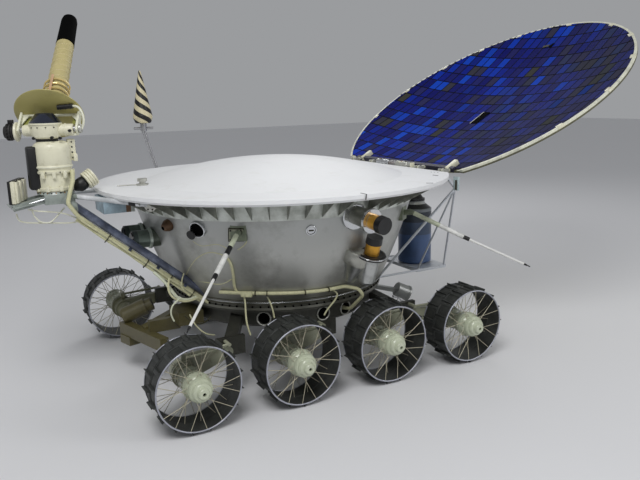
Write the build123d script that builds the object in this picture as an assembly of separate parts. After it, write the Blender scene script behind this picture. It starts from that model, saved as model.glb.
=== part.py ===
from build123d import *
import math
import os

# Planetary rover with eight wire wheels, a tub-shaped hull, a round top plate,
# a hinged solar lid, a steerable helical aerial and a trailing measuring wheel.
# Millimetres. +X forward, +Y to the rover's left, +Z up, ground at z = 0.
# The pieces are drawn about the hull's axis, then moved forward by HULL_AHEAD and down by
# GROUND_Z, so that the origin is on the ground under the middle of the overall length.

HULL_AHEAD = 535.0
GROUND_Z = 11.0

# Wheels
AXLE_Z = 245.0
WHEEL_X = [852.5, 284.2, -284.2, -852.5]
WHEEL_Y = 800.0
DRUM_SIDES = 32
DRUM_IN = 213.0
DRUM_OUT = 219.0
DRUM_HALF = 100.0
LUG_TIP = 234.0
LUG_THICK = 5.0
SPOKE = 4.0
SPOKE_Y = [88.0, -62.0]
HUB_BORE = 30.05
STUB_R = 30.0
HUB_BACK = -75.0
# Hub outline: outward distance from the wheel's middle, radius
HUB_STEPS = [(-75, 60), (-20, 56), (20, 66), (84, 66), (120, 61), (120, 48), (143, 48), (143, 31), (165, 31)]
# Drive housing outline behind the wheel: the same two columns
HOUSING_STEPS = [(-250, 24), (-236, 40), (-214, 52), (-130, 60), (-130, 72), (-118, 72), (-118, 64), (-80, 64)]

# Suspension: arm plane, how far ahead (+) or behind (-) of its wheel each arm's pivot is
ARM_Y = (600.0, 640.0)
PIVOT_Z = 300.0
ARM_REACH = [-250.0, -250.0, -250.0, 250.0]
POST_X = [568.3, 0.0, -568.3]
POST_Y = (570.0, 600.0)
POST_HALF = 80.0
TIE_ROD_Y = 652.0
TIE_ROD_R = 7.0

# Hull and its lower ring
PAN_R = 600.0
PAN_BOTTOM = 345.0
FLANGE_R = 655.0
FLANGE_Z = 460.0
HULL_LOW = (647.0, 474.0)
HULL_MID = (758.0, 725.0)
HULL_BELT = (845.0, 985.0)
HULL_TOP = (885.0, 1105.0)
PORT_R = 36.0
PORT_Z = 395.0
PORT_ANGLES = [-105.2, -89.8, -56.7, 56.7, 89.8, 105.2]
HOLD_DOWN_R = 220.0
HOLD_DOWN_Z = 333.0

# Top plate, dome and rim
RIM_Z = 1136.0
RIM_LOW = 1105.0
RIM_R = 1075.0
CHORD_X = -900.0
DOME_R = 795.0
DOME_TOP = 1255.0
GUSSETS = 60
GUSSET_THICK = 4.0

# Solar lid, drawn closed: its middle, outer radius, rim heights and straight rear edge
HINGE_X = -925.0
HINGE_Z = 1137.0
LID_LIFT = 30.6
LID_MID_X = -47.0
LID_R = 1062.0
LID_LOW = 1142.0
LID_HIGH = 1168.0
LID_SAG = 122.0
LID_SKIN = 16.0
LID_CELL = 4.0
LID_RIM_W = 15.0
LID_CUT_X = -888.0
SLOT_X = (-217.0, -57.0)
SLOT_Y = (-20.0, 8.0)
EAR_Y = [-520.0, -270.0, 270.0, 520.0]
EAR_R = 12.0
EAR_HALF = 14.0
HINGE_PIN_R = 6.0
# Lid drive outline along the hinge line: distance, radius
DRIVE_STEPS = [(-210, 13), (-200, 22), (-60, 22), (-60, 17), (20, 17), (20, 22), (140, 22), (148, 12), (176, 12)]

# Steerable aerial on its truss ahead of the hull
MAST_X = 1290.0
DRUM_BASE_Z = 1150.0
PIVOT_TOP_Z = 1473.0
AERIAL_YAW = -23.0
BOX_YAW = -21.0
AERIAL_LEAN = 47.0
PLATE_R = 178.0
PLATE_RISE = 108.0
FRAME_LEFT = 155.0
FRAME_RIGHT = -140.0
TRUNNION_R = 15.0
# Drum and helix outlines: distance along the axis, radius
DRUM_STEPS = [(0, 86), (8, 94), (24, 94), (24, 88), (96, 88), (96, 97), (112, 97), (112, 92), (122, 92), (126, 97),
              (134, 97), (138, 95), (236, 95), (252, 84), (262, 66)]
HELIX_STEPS = [(0, 62), (14, 62), (14, 70), (176, 70), (176, 52), (188, 48), (560, 45), (560, 47), (755, 41), (780, 34),
               (792, 16)]
TRUSS_FOOT = (590.0, 288.0, 536.0)
TRUSS_TOP = (1265.0, 80.0, 1110.0)
TRUSS_R = 22.0
CABLE_R = 11.0
CABLE_OFF = 35.0
CABLE_CLIPS = [430.0, 610.0, 790.0]
# Aerial cable from the drum's side down past the base block, before it meets the leg
CABLE_START = [(1206.0, 60.0, 1256.0), (1214.0, 96.0, 1205.0), (1236.0, 116.0, 1150.0)]

# Fitting on the top plate
FITTING = (816.0, -35.0, 1136.0)

# Cone aerial on a rod outside the rim
CONE_FOOT = (452.0, -1012.0, 1120.0)
CONE_BASE = (530.0, -1016.0, 1452.0)
CONE_STEPS = [(0, 50), (6, 56), (38, 67), (50, 67), (352, 9), (362, 4)]

# Whip aerials: foot on the hull wall, start of tube, joint, tip; x and y are mirrored
WHIP = [(515.0, 650.0, 935.0), (545.0, 700.0, 940.0), (748.0, 920.0, 806.0), (990.0, 1200.0, 655.0)]

# Sideways camera: start inside the hull wall, end of its cap
SIDE_CAMERA = [(-52.0, 740.0, 1010.0), (-100.0, 1090.0, 965.0)]
SIDE_CAMERA_STEPS = [(0, 62), (84, 62), (84, 50), (238, 50), (238, 58), (250, 58), (250, 41), (306, 41), (306, 47),
                     (346, 46)]
FRONT_CAMERA_Y = 95.0
FRONT_CAMERA_Z = 850.0
FRONT_CAMERA_STEPS = [(690, 52), (826, 52), (826, 58), (840, 58), (840, 50), (930, 50), (930, 42), (937, 40)]

# Round openings on the hull's left flank: angle from the front, height, outer and inner radius, rise
FLANK_PORTS = [(35.8, 948.0, 47.0, 38.0, 16.0), (77.5, 936.0, 30.0, 21.0, 8.0), (21.5, 953.0, 34.0, 12.0, 44.0)]

# Belt of cable round the lower wall: angle from the front, height; then its end, down into a port
BELT = [(38, 572), (50, 576), (62, 574), (74, 568), (86, 565), (97, 567)]
BELT_END = [(-148.0, 742.0, 552.0), (-178.0, 744.0, 510.0), (-172.0, 672.0, 446.0), (-163.0, 622.0, 400.0),
            (-150.0, 565.0, 394.0)]
BELT_R = 10.0
BELT_GAP = 5.5

# Small can behind the lower ring
REAR_CAN = (-735.0, 345.0, 345.0)

# Heat source behind the hull
HEAT_X = -1092.0
HEAT_R = 117.0
HEAT_Z = (430.0, 850.0)
STRUT_TOP = (-975.0, 570.0, 1030.0)

# Measuring wheel at the rear
METER_AXLE = (-905.0, 0.0, 100.0)
METER_R = 100.0
METER_PIVOT = (-640.0, 0.0, 330.0)


def at(x, y, z):
    return Vector(x, y, z)


def rod(start, end, radius):
    """A round bar from one point to another."""
    a, b = Vector(*start), Vector(*end)
    return Solid.make_cylinder(radius, (b - a).length, Plane(origin=a, z_dir=b - a))


def beam(start, end, wide, high):
    """A rectangular bar from one point to another, its width level."""
    a, b = Vector(*start), Vector(*end)
    way = b - a
    side = Vector(0, 0, 1).cross(way)
    plane = Plane(origin=a + way * 0.5, x_dir=side, z_dir=way)
    return plane * Box(wide, high, way.length)


def block(x, y, z):
    """A box from pairs of low and high limits."""
    mid = [(pair[0] + pair[1]) / 2 for pair in (x, y, z)]
    return Pos(*mid) * Box(x[1] - x[0], y[1] - y[0], z[1] - z[0])


def turned(profile, centre=(0, 0, 0), axis=(0, 0, 1)):
    """A solid of revolution: profile rows are distance along the axis, radius."""
    low, high = profile[0][0], profile[-1][0]
    points = [(radius, along) for along, radius in profile]
    outline = Polyline((0, low), *points, (0, high), close=True)
    face = Plane.XZ * make_face(outline)
    body = revolve(face, axis=Axis.Z)
    return Plane(origin=centre, z_dir=axis) * body


def sleeve(profile):
    """A ring of revolution about Z: profile rows are radius, height."""
    face = Plane.XZ * make_face(Polyline(*profile, close=True))
    return revolve(face, axis=Axis.Z)


def cap_height(radius, edge, rise):
    """Height of a spherical cap above its edge, at a radius from its middle."""
    ball = (edge * edge + rise * rise) / (2 * rise)
    return math.sqrt(ball * ball - radius * radius) - (ball - rise)


def behind_chord():
    """The space behind the straight rear edge of the round top."""
    return block((CHORD_X - 800, CHORD_X), (-1500, 1500), (900, 1400))


def mirrored(piece, left):
    return piece if left else piece.mirror(Plane.XZ)


def save(node, shape):
    """Move a node to the model's frame and write it."""
    export_step(Pos(HULL_AHEAD, 0, -GROUND_Z) * shape, os.path.join("parts", node + ".step"))


# Hull

def hull_tub():
    wall = [
        Line((0, FLANGE_Z), (FLANGE_R, FLANGE_Z)),
        Line((FLANGE_R, FLANGE_Z), (FLANGE_R, HULL_LOW[1])),
        Line((FLANGE_R, HULL_LOW[1]), HULL_LOW),
        ThreePointArc(HULL_LOW, HULL_MID, HULL_BELT),
        Line(HULL_BELT, HULL_TOP),
        Line(HULL_TOP, (0, HULL_TOP[1])),
        Line((0, HULL_TOP[1]), (0, FLANGE_Z)),
    ]
    face = Plane.XZ * make_face(wall)
    return revolve(face, axis=Axis.Z)


def top_plate():
    """Round plate with its white dome, cut straight at the lid's hinge."""
    half = DOME_R / 2
    middle = (half, RIM_Z + cap_height(half, DOME_R, DOME_TOP - RIM_Z))
    outline = [
        Line((0, RIM_LOW), (RIM_R - 12, RIM_LOW)),
        Line((RIM_R - 12, RIM_LOW), (RIM_R, RIM_LOW + 12)),
        Line((RIM_R, RIM_LOW + 12), (RIM_R, RIM_Z)),
        Line((RIM_R, RIM_Z), (DOME_R, RIM_Z)),
        ThreePointArc((DOME_R, RIM_Z), middle, (0, DOME_TOP)),
        Line((0, DOME_TOP), (0, RIM_LOW)),
    ]
    plate = revolve(Plane.XZ * make_face(outline), axis=Axis.Z)
    return plate - behind_chord()


def rim_gussets():
    lean = (HULL_TOP[0] - HULL_BELT[0]) / (HULL_TOP[1] - HULL_BELT[1])
    low = HULL_BELT[1] + 12
    foot = HULL_BELT[0] + lean * 12
    skirt = sleeve([(foot, low), (foot + 9, low), (HULL_TOP[0] + 7, RIM_LOW), (HULL_TOP[0], RIM_LOW)])
    rib_face = make_face(Polyline((foot + 5, low + 3), (RIM_R - 28, RIM_LOW), (HULL_TOP[0] + 3, RIM_LOW), close=True))
    rib = extrude(Plane.XZ * rib_face, GUSSET_THICK / 2, both=True)
    ribs = []
    for i in range(GUSSETS):
        angle = 360 / GUSSETS * (i + 0.5)
        near_front = min(angle, 360 - angle) < 8
        near_camera = min(abs(angle - 93), abs(angle - 267)) < 5
        if not near_front and not near_camera:
            ribs.append(Rot(0, 0, angle) * rib)
    skirt = skirt.fuse(*ribs) - behind_chord()
    for left in (True, False):
        skirt = skirt - mirrored(rod(SIDE_CAMERA[0], SIDE_CAMERA[1], 64), left)
    return skirt


def chassis_ring():
    pan = sleeve([(0, PAN_BOTTOM), (PAN_R - 15, PAN_BOTTOM), (PAN_R, PAN_BOTTOM + 15), (PAN_R, FLANGE_Z - 14),
                  (FLANGE_R - 8, FLANGE_Z - 14), (FLANGE_R - 8, FLANGE_Z), (0, FLANGE_Z)])
    ports = []
    for angle in PORT_ANGLES:
        way = Vector(math.cos(math.radians(angle)), math.sin(math.radians(angle)), 0)
        ports.append(rod(way * (PAN_R - 30) + at(0, 0, PORT_Z), way * (PAN_R + 30) + at(0, 0, PORT_Z), PORT_R))
    for port in ports:
        pan = pan - port
    return pan


def outriggers(left):
    """Three suspension posts on one side, with the beams that carry the outer two."""
    pieces = []
    for x in POST_X:
        post = block((x - POST_HALF, x + POST_HALF), POST_Y, (PIVOT_Z - 40, PIVOT_Z + 62))
        if x:
            inner = Vector(x, 0, 0).normalized() * 440 + at(0, 380, 398)
            arm = beam((inner.X, inner.Y, inner.Z), (x * 0.98, POST_Y[0] - 10, PIVOT_Z + 20), 70, 46)
        else:
            arm = block((-45, 45), (540, POST_Y[0] + 10), (PAN_BOTTOM - 32, PAN_BOTTOM + 16))
        pieces.append(mirrored(post.fuse(arm), left))
    return pieces


def chassis():
    ring = chassis_ring() + rod((0, 0, HOLD_DOWN_Z), (0, 0, PAN_BOTTOM + 10), HOLD_DOWN_R)
    for left in (True, False):
        for piece in outriggers(left):
            ring = ring + piece
    return ring


# Wheels and suspension

def wheel():
    """One wheel about the origin, its axle along Y and its outer side towards +Y."""
    outside = RegularPolygon(DRUM_OUT, DRUM_SIDES, major_radius=False)
    inside = RegularPolygon(DRUM_IN, DRUM_SIDES, major_radius=False)
    drum = extrude(Plane.XZ * (outside - inside), DRUM_HALF, both=True)
    parts = []
    pitch = 360 / DRUM_SIDES
    lug = block((DRUM_OUT - 3, LUG_TIP), (0, DRUM_HALF), (-LUG_THICK / 2, LUG_THICK / 2))
    spoke = block((45, DRUM_IN + 3), (-SPOKE / 2, SPOKE / 2), (-SPOKE / 2, SPOKE / 2))
    for i in range(DRUM_SIDES):
        turn = Rot(0, (i + 0.5) * pitch + 90, 0)
        parts.append(turn * Pos(0, -DRUM_HALF * (i % 2), 0) * lug)
        if i % 2 == 0:
            parts.append(turn * Pos(0, SPOKE_Y[i // 2 % 2], 0) * spoke)
    hub = turned(HUB_STEPS, axis=(0, 1, 0))
    solid = drum.fuse(hub, *parts) - rod((0, HUB_BACK - 1, 0), (0, 2, 0), HUB_BORE)
    return Rot(0, pitch / 2, 0) * solid


def swing_arm(number):
    """Drive housing, trailing arm, tie rod and pivot of one wheel on the left side."""
    x = WHEEL_X[number]
    reach = ARM_REACH[number]
    housing = turned(HOUSING_STEPS, centre=(x, WHEEL_Y, AXLE_Z), axis=(0, 1, 0))
    stub = rod((x, WHEEL_Y - 90, AXLE_Z), (x, WHEEL_Y - 3, AXLE_Z), STUB_R)
    ends = Sketch() + [Pos(x, AXLE_Z) * Circle(62), Pos(x + reach, PIVOT_Z) * Circle(28)]
    plate = Plane(origin=(0, ARM_Y[0], 0), x_dir=(1, 0, 0), z_dir=(0, -1, 0)) * make_hull(ends.edges())
    arm = extrude(plate, -(ARM_Y[1] - ARM_Y[0]))
    lug = block((x - 12, x + 12), (ARM_Y[1] - 6, TIE_ROD_Y + 12), (AXLE_Z + 40, AXLE_Z + 102))
    tie = rod((x, TIE_ROD_Y, AXLE_Z + 92), (x + reach, TIE_ROD_Y, PIVOT_Z + 47), TIE_ROD_R)
    pin = rod((x + reach, POST_Y[1], PIVOT_Z + 47), (x + reach, TIE_ROD_Y + 12, PIVOT_Z + 47), 10)
    return housing.fuse(stub, arm, lug, tie, pin)


# Solar lid, drawn closed over the top plate and then opened about its hinge

def lid_opened(shape):
    turn = LID_LIFT - 180
    return Pos(HINGE_X, 0, HINGE_Z) * Rot(0, turn, 0) * Pos(-HINGE_X, 0, -HINGE_Z) * shape


def dished(low, thick, edge):
    """A shallow dished disc: height of its edge, thickness and radius."""
    middle = cap_height(edge / 2, edge, LID_SAG)
    top = low + thick
    face = make_face([
        ThreePointArc((0, low + LID_SAG), (edge / 2, low + middle), (edge, low)),
        Line((edge, low), (edge, top)),
        ThreePointArc((edge, top), (edge / 2, top + middle), (0, top + LID_SAG)),
        Line((0, top + LID_SAG), (0, low + LID_SAG)),
    ])
    return Pos(LID_MID_X, 0, 0) * revolve(Plane.XZ * face, axis=Axis.Z)


def before_cut(setback):
    """The space behind the lid's straight edge, or so far ahead of it."""
    return block((LID_CUT_X - 600, LID_CUT_X + setback), (-1500, 1500), (900, 1500))


def lid_panel():
    """Dished lid with its raised rim, sight slot and hinge ears."""
    skin_low = LID_LOW + 2 + LID_CELL
    shell = dished(skin_low, LID_SKIN, LID_R - 4)
    rim = sleeve([(LID_R - LID_RIM_W, LID_LOW), (LID_R, LID_LOW), (LID_R, LID_HIGH), (LID_R - LID_RIM_W, LID_HIGH)])
    closed = shell.fuse(Pos(LID_MID_X, 0, 0) * rim) - before_cut(0)
    closed = closed - block(SLOT_X, SLOT_Y, (LID_LOW, LID_LOW + LID_SAG + 60))
    edge_bar = block((LID_CUT_X, LID_CUT_X + 22), (-560, 560), (LID_LOW, LID_HIGH + 4))
    closed = closed.fuse(edge_bar)
    for y in EAR_Y:
        ear = rod((HINGE_X, y - EAR_HALF, HINGE_Z), (HINGE_X, y + EAR_HALF, HINGE_Z), EAR_R)
        web = block((HINGE_X, LID_CUT_X + 6), (y - EAR_HALF, y + EAR_HALF), (LID_LOW, LID_LOW + 14))
        closed = closed.fuse(ear, web)
        closed = closed - rod((HINGE_X, y - 20, HINGE_Z), (HINGE_X, y + 20, HINGE_Z), HINGE_PIN_R + 0.05)
    return lid_opened(closed)


def lid_cells():
    """The layer of solar cells inside the dish."""
    layer = dished(LID_LOW + 2, LID_CELL, LID_R - LID_RIM_W - 1)
    closed = layer - before_cut(24) - block(SLOT_X, SLOT_Y, (LID_LOW, LID_LOW + LID_SAG + 60))
    return lid_opened(closed)


def hinge_brackets():
    """Cheeks on the top plate's straight edge, each pair with its pin."""
    pieces = []
    for y in EAR_Y:
        cheeks = [block((HINGE_X - 18, CHORD_X), (y + s * 22 - 5, y + s * 22 + 5), (RIM_LOW + 3, HINGE_Z + 14))
                  for s in (-1, 1)]
        pin = rod((HINGE_X, y - 27, HINGE_Z), (HINGE_X, y + 27, HINGE_Z), HINGE_PIN_R)
        pieces.append(pin.fuse(*cheeks))
    return Compound(children=pieces)


def lid_drive():
    """Motor and gearbox on the hinge line, on two feet from the top plate's edge."""
    body = turned(DRIVE_STEPS, centre=(HINGE_X, 0, HINGE_Z + 8), axis=(0, 1, 0))
    feet = [block((HINGE_X - 6, CHORD_X), (y - 12, y + 12), (RIM_LOW + 4, HINGE_Z)) for y in (-130, 80)]
    return body.fuse(*feet)


# Steerable aerial

def beside_leg(along, outboard=0.0):
    """A point of the cable along the left truss leg: under it, or turned towards its outer side."""
    top, foot = at(*TRUSS_TOP), at(*TRUSS_FOOT)
    way = (foot - top).normalized()
    below = (way * way.Z - at(0, 0, 1)).normalized()
    outer = way.cross(at(0, 0, 1)).normalized()
    side = (below * (1 - outboard) + outer * outboard).normalized()
    return top + way * along + side * (CABLE_OFF + (5 if outboard else 0))


def aerial_truss():
    """Two long tubes and two short ones that carry the aerial's base and its shelf."""
    pieces = []
    for s in (1, -1):
        pieces.append(rod((TRUSS_TOP[0], s * TRUSS_TOP[1], TRUSS_TOP[2]),
                          (TRUSS_FOOT[0], s * TRUSS_FOOT[1], TRUSS_FOOT[2]), TRUSS_R))
        pieces.append(rod((MAST_X - 30, s * 60, DRUM_BASE_Z - 22), (878, s * 396, RIM_LOW - 26), 13))
    base = block((MAST_X - 80, MAST_X + 70), (-96, 96), (DRUM_BASE_Z - 62, DRUM_BASE_Z - 12))
    seat = turned([(DRUM_BASE_Z - 12, 96), (DRUM_BASE_Z, 90)], centre=(MAST_X, 0, 0))
    shelf = [beam((MAST_X + 40, y, DRUM_BASE_Z - 34), (MAST_X + 225, y + shift, DRUM_BASE_Z - 66), 26, 34)
             for y, shift in ((-60, 0), (50, 25))]
    tray = beam((MAST_X + 130, 5, DRUM_BASE_Z - 48), (MAST_X + 236, 10, DRUM_BASE_Z - 66), 190, 8)
    clips = [rod(beside_leg(along - 8), beside_leg(along + 8), 19) for along in CABLE_CLIPS]
    truss = base.fuse(seat, tray, *shelf, *pieces, *clips)
    for along in CABLE_CLIPS:
        truss = truss - rod(beside_leg(along - 14), beside_leg(along + 14), CABLE_R + 0.05)
    return truss - hull_tub() - rim_gussets() - top_plate()


def aerial_box():
    """Ribbed feed box on the shelf ahead of the drum."""
    body = Box(36, 196, 118)
    ribs = [Pos(-20, y, 0) * Box(14, 22, 112) for y in (-80, -40, 0, 40, 80)]
    turn = Pos(MAST_X + 190, 6, DRUM_BASE_Z + 14) * Rot(0, 0, BOX_YAW)
    return turn * body.fuse(*ribs) - aerial_truss()


def aerial_drum():
    """Azimuth drive drum with its cable box in front and bracket behind."""
    drum = turned(DRUM_STEPS, centre=(MAST_X, 0, DRUM_BASE_Z))
    cable_box = block((MAST_X + 70, MAST_X + 127), (-44, 44), (DRUM_BASE_Z + 14, DRUM_BASE_Z + 238))
    cable_box = fillet(cable_box.edges().filter_by(Axis.Y).group_by(Axis.Z)[-1], 18)
    bracket = block((MAST_X - 118, MAST_X - 80), (-24, 24), (DRUM_BASE_Z + 130, DRUM_BASE_Z + 246))
    return drum.fuse(cable_box, bracket) - aerial_box()


def at_mast(shape):
    return Pos(MAST_X, 0, PIVOT_TOP_Z) * Rot(0, 0, AERIAL_YAW) * shape


def aerial_yoke():
    """Cup with its dark cone and two trunnions, about the elevation axis (local X)."""
    cup = turned([(-47, 60), (-40, 72), (0, 79), (26, 79), (26, 84), (34, 84), (34, 80), (80, 36)])
    arms = rod((-124, 0, -4), (132, 0, -4), 31)
    pin = rod((-162, 0, 0), (165, 0, 0), TRUNNION_R)
    discs = turned([(163, 22), (165, 34), (172, 34), (172, 58), (190, 58), (190, 64), (212, 64), (212, 46), (226, 46)],
                   axis=(1, 0, 0))
    return at_mast(cup.fuse(arms, pin, discs))


def aerial_helix():
    """Round plate on a sheet frame, with the helix tube, leaning about the elevation axis."""
    plate = rod((0, 0, PLATE_RISE), (0, 0, PLATE_RISE + 6), PLATE_R)
    tube = turned(HELIX_STEPS, centre=(0, 0, PLATE_RISE + 6))
    top_bar = block((FRAME_RIGHT - 12, FRAME_LEFT + 3), (-5, 5), (PLATE_RISE - 9, PLATE_RISE))
    pieces = [tube, top_bar]
    for x, side in ((FRAME_LEFT, 1), (FRAME_RIGHT, -1)):
        low, high = x - 9, x + 3
        post = block((low, high), (-24, 24), (-26, PLATE_RISE))
        gusset = extrude(Plane.XZ * make_face(Polyline((x, PLATE_RISE), (x - side * 34, PLATE_RISE - 9), (x, 40),
                                                       close=True)), 3, both=True)
        pieces += [post.fuse(gusset) - rod((low - 4, 0, 0), (high + 4, 0, 0), TRUNNION_R + 0.05)]
    head = plate.fuse(*pieces)
    return at_mast(Rot(AERIAL_LEAN, 0, 0) * head)


# Fixed aerials

def cone_mast():
    """Two thin rods from the rim with the cross bar under the cone."""
    low, high = at(*CONE_FOOT), at(*CONE_BASE)
    way = Vector(low.X, low.Y, 0).normalized()
    rim = way * (RIM_R - 1)
    foot = beam((rim.X, rim.Y, RIM_LOW + 20), (low.X, low.Y, low.Z + 8), 40, 16)
    bar_z = high.Z - 36
    bar = rod((high.X - 68, high.Y, bar_z), (high.X + 68, high.Y, bar_z), 9)
    collar = rod((high.X, high.Y, bar_z - 20), (high.X, high.Y, high.Z), 22)
    rods = [rod((low.X, low.Y, low.Z), (high.X, high.Y, bar_z), 7),
            rod((low.X + 14, low.Y, low.Z + 4), (high.X + 18, high.Y, bar_z), 4)]
    return collar.fuse(bar, foot, *rods) - top_plate() - cone_aerial()


def cone_aerial():
    return turned(CONE_STEPS, centre=CONE_BASE)


def whip(front, left):
    foot, start, joint, tip = [Vector(*point) for point in WHIP]
    out = Vector(foot.X, foot.Y, 0).normalized()
    plate = beam(foot - out * 14, foot + out * 12, 84, 84)
    neck = rod(foot, start, 16)
    tube = rod(start - (joint - start) * 0.06, joint, 13)
    knuckle = rod(joint, joint + (tip - joint) * 0.08, 10)
    blade = rod(joint, tip - (tip - joint) * 0.06, 5)
    point = rod(tip - (tip - joint) * 0.06, tip, 3)
    piece = plate.fuse(neck, tube, knuckle, blade, point) - hull_tub()
    if not front:
        piece = piece.mirror(Plane.YZ)
    return mirrored(piece, left)


# Cameras, reflector and instruments

def on_wall(angle, z):
    """A point on the hull's upper wall and its outward direction there."""
    share = (z - HULL_MID[1]) / (HULL_BELT[1] - HULL_MID[1])
    radius = HULL_MID[0] + share * (HULL_BELT[0] - HULL_MID[0])
    lean = (HULL_BELT[0] - HULL_MID[0]) / (HULL_BELT[1] - HULL_MID[1])
    c, s = math.cos(math.radians(angle)), math.sin(math.radians(angle))
    return at(radius * c, radius * s, z), at(c, s, -lean).normalized()


def hull_fittings():
    """Round openings on the left flank: row columns are angle, height, outer and inner radius, rise."""
    pieces = []
    for angle, z, outer, inner, rise in FLANK_PORTS:
        place, out = on_wall(angle, z)
        rim = rod(place - out * 14, place + out * rise, outer) - rod(place + out * 4, place + out * 40, inner)
        pieces.append(rim - hull_tub())
    return Compound(children=pieces)


def front_camera(left):
    barrel = turned(FRONT_CAMERA_STEPS, centre=(0, FRONT_CAMERA_Y, FRONT_CAMERA_Z), axis=(1, 0, 0))
    return mirrored(barrel - hull_tub(), left)


def side_camera(left):
    """Panoramic camera that looks out sideways."""
    start, end = at(*SIDE_CAMERA[0]), at(*SIDE_CAMERA[1])
    way = (end - start).normalized()
    barrel = turned(SIDE_CAMERA_STEPS, centre=start, axis=(way.X, way.Y, way.Z))
    return mirrored(barrel - hull_tub(), left)


def upright_camera(left):
    """Panoramic camera in a can on the hull's flank, with its sheet fairing."""
    low, high = at(-165, 775, 560), at(-178, 868, 868)
    way = (high - low).normalized()
    can = turned([(40, 40), (56, 49), (205, 52), (205, 84), (217, 84), (217, 41), (282, 41), (282, 46), (322, 44)],
                 centre=low, axis=(way.X, way.Y, way.Z))
    fairing = Solid.make_cone(30, 96, 150, Plane(origin=(-108, 706, 600), z_dir=(-0.20, 0.32, 0.93)))
    return mirrored(can.fuse(fairing) - hull_tub(), left)


def plate_fitting():
    """Fitting with a collar on the top plate's front, and the thin rod that leads ahead from it."""
    body = turned([(0, 35), (8, 35), (8, 18), (22, 18), (22, 28), (38, 28)], centre=FITTING)
    tail = rod((FITTING[0] + 30, FITTING[1] - 3, FITTING[2] + 4.5), (955, -56, FITTING[2] + 4.5), 3)
    return body.fuse(tail) - top_plate()


def reflector_box():
    box = block((905, 1072), (-110, 110), (1012, 1096))
    hangers = [block((x - 12, x + 12), (-60, 60), (1090, RIM_LOW)) for x in (930, 1040)]
    return box.fuse(*hangers)


def front_instrument():
    """Olive bar across the front with its block and tube, on an arm from the lower ring."""
    bar = Pos(903, 62, 274) * Rot(0, 0, 15.3) * Box(54, 460, 72)
    block_below = Pos(945, -96, 214) * Rot(0, 0, 15.3) * Box(70, 110, 52)
    tube = turned([(0, 44), (12, 50), (150, 50), (150, 40), (190, 40)], centre=(968, -150, 340), axis=(-0.9, 0.25, 0.36))
    arm = beam((PAN_R - 4, 0, 400), (890, 30, 300), 60, 34)
    case = block((596, 740), (60, 250), (352, 428))
    brace = block((700, 880), (90, 130), (300, 372))
    return bar.fuse(block_below, tube, arm, case, brace) - chassis_ring()


def penetrometer():
    """Soil probe in its frame under the rear of the hull."""
    shaft = turned([(196, 2), (236, 22), (240, 12), (330, 12), (330, 30), (PAN_BOTTOM, 30)], centre=(-470, 0, 0))
    return shaft


# Heat source

def heat_source():
    low, high = HEAT_Z
    return turned([(0, 96), (12, HEAT_R), (high - low - 30, HEAT_R), (high - low, 78), (high - low + 22, 62),
                   (high - low + 22, 70), (high - low + 40, 70), (high - low + 40, 60), (high - low + 78, 34)],
                  centre=(HEAT_X, 0, low))


def heat_frame():
    deck_z = HEAT_Z[0] - 12
    deck = block((HEAT_X - 126, HEAT_X + 130), (-200, 200), (deck_z - 10, deck_z + 12))
    rods = []
    for s in (1, -1):
        top = (STRUT_TOP[0], s * STRUT_TOP[1], STRUT_TOP[2])
        corner = (HEAT_X - 112, s * 190, deck_z)
        inner = (HEAT_X + 118, s * 190, deck_z)
        foot = (-575, s * 300, FLANGE_Z - 7)
        rods += [rod(top, corner, 7), rod(top, foot, 8), rod(corner, foot, 7), rod(inner, foot, 7)]
        rods.append(rod((CHORD_X - 8, s * 560, RIM_LOW + 8), top, 9))
        rods.append(rod(top, inner, 6))
    frame = deck.fuse(*rods)
    return frame - hull_tub() - chassis_ring() - top_plate() - rim_gussets()


# Measuring wheel

def meter_wheel():
    hub = turned([(-16, 14), (16, 14)], axis=(0, 1, 0))
    outside, inside = Circle(METER_R - 10), Circle(METER_R - 18)
    ring = extrude(Plane.XZ * (outside - inside), 9, both=True)
    parts = []
    for i in range(12):
        turn = Rot(0, i * 30, 0)
        parts.append(turn * block((METER_R - 12, METER_R), (-9, 9), (-2, 2)))
        if i % 2 == 0:
            parts.append(turn * block((10, METER_R - 16), (-2, 2), (-3, 3)))
    wheel_solid = ring.fuse(hub, *parts) - rod((0, -20, 0), (0, 20, 0), 6.05)
    return Pos(*METER_AXLE) * wheel_solid


def meter_arm():
    axle, pivot = at(*METER_AXLE), at(*METER_PIVOT)
    pin = rod((axle.X, -30, axle.Z), (axle.X, 30, axle.Z), 6)
    sides = []
    for s in (1, -1):
        sides.append(beam((axle.X, s * 26, axle.Z), (pivot.X, s * 26, pivot.Z), 8, 22))
    bridge = beam((pivot.X - 60, -30, pivot.Z - 52), (pivot.X - 60, 30, pivot.Z - 52), 22, 14)
    ends = [rod((pivot.X, s * 22, pivot.Z), (pivot.X, s * 30, pivot.Z), 16) for s in (1, -1)]
    arm = pin.fuse(bridge, *sides, *ends)
    return arm - rod((pivot.X, -40, pivot.Z), (pivot.X, 40, pivot.Z), 8.05)


def meter_bracket():
    x, z = METER_PIVOT[0], METER_PIVOT[2]
    stem = block((x - 20, x + 100), (-15, 15), (z - 14, PAN_BOTTOM + 6))
    pin = rod((x, -36, z), (x, 36, z), 8)
    pad = block((x + 60, x + 140), (-40, 40), (PAN_BOTTOM - 16, PAN_BOTTOM))
    return stem.fuse(pin, pad) - chassis_ring()


# Held wiring

def tube_along(points, radius, bend):
    path = FilletPolyline(*points, radius=bend)
    start = Plane(origin=path @ 0, z_dir=path % 0)
    return sweep(start * Circle(radius), path=path)


def lower_wall(z):
    """Radius of the hull's lower wall at a height, from the chord of its arc and the arc's rise."""
    share = (z - HULL_LOW[1]) / (HULL_MID[1] - HULL_LOW[1])
    return HULL_LOW[0] + share * (HULL_MID[0] - HULL_LOW[0]) + 12 * share * (1 - share)


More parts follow.
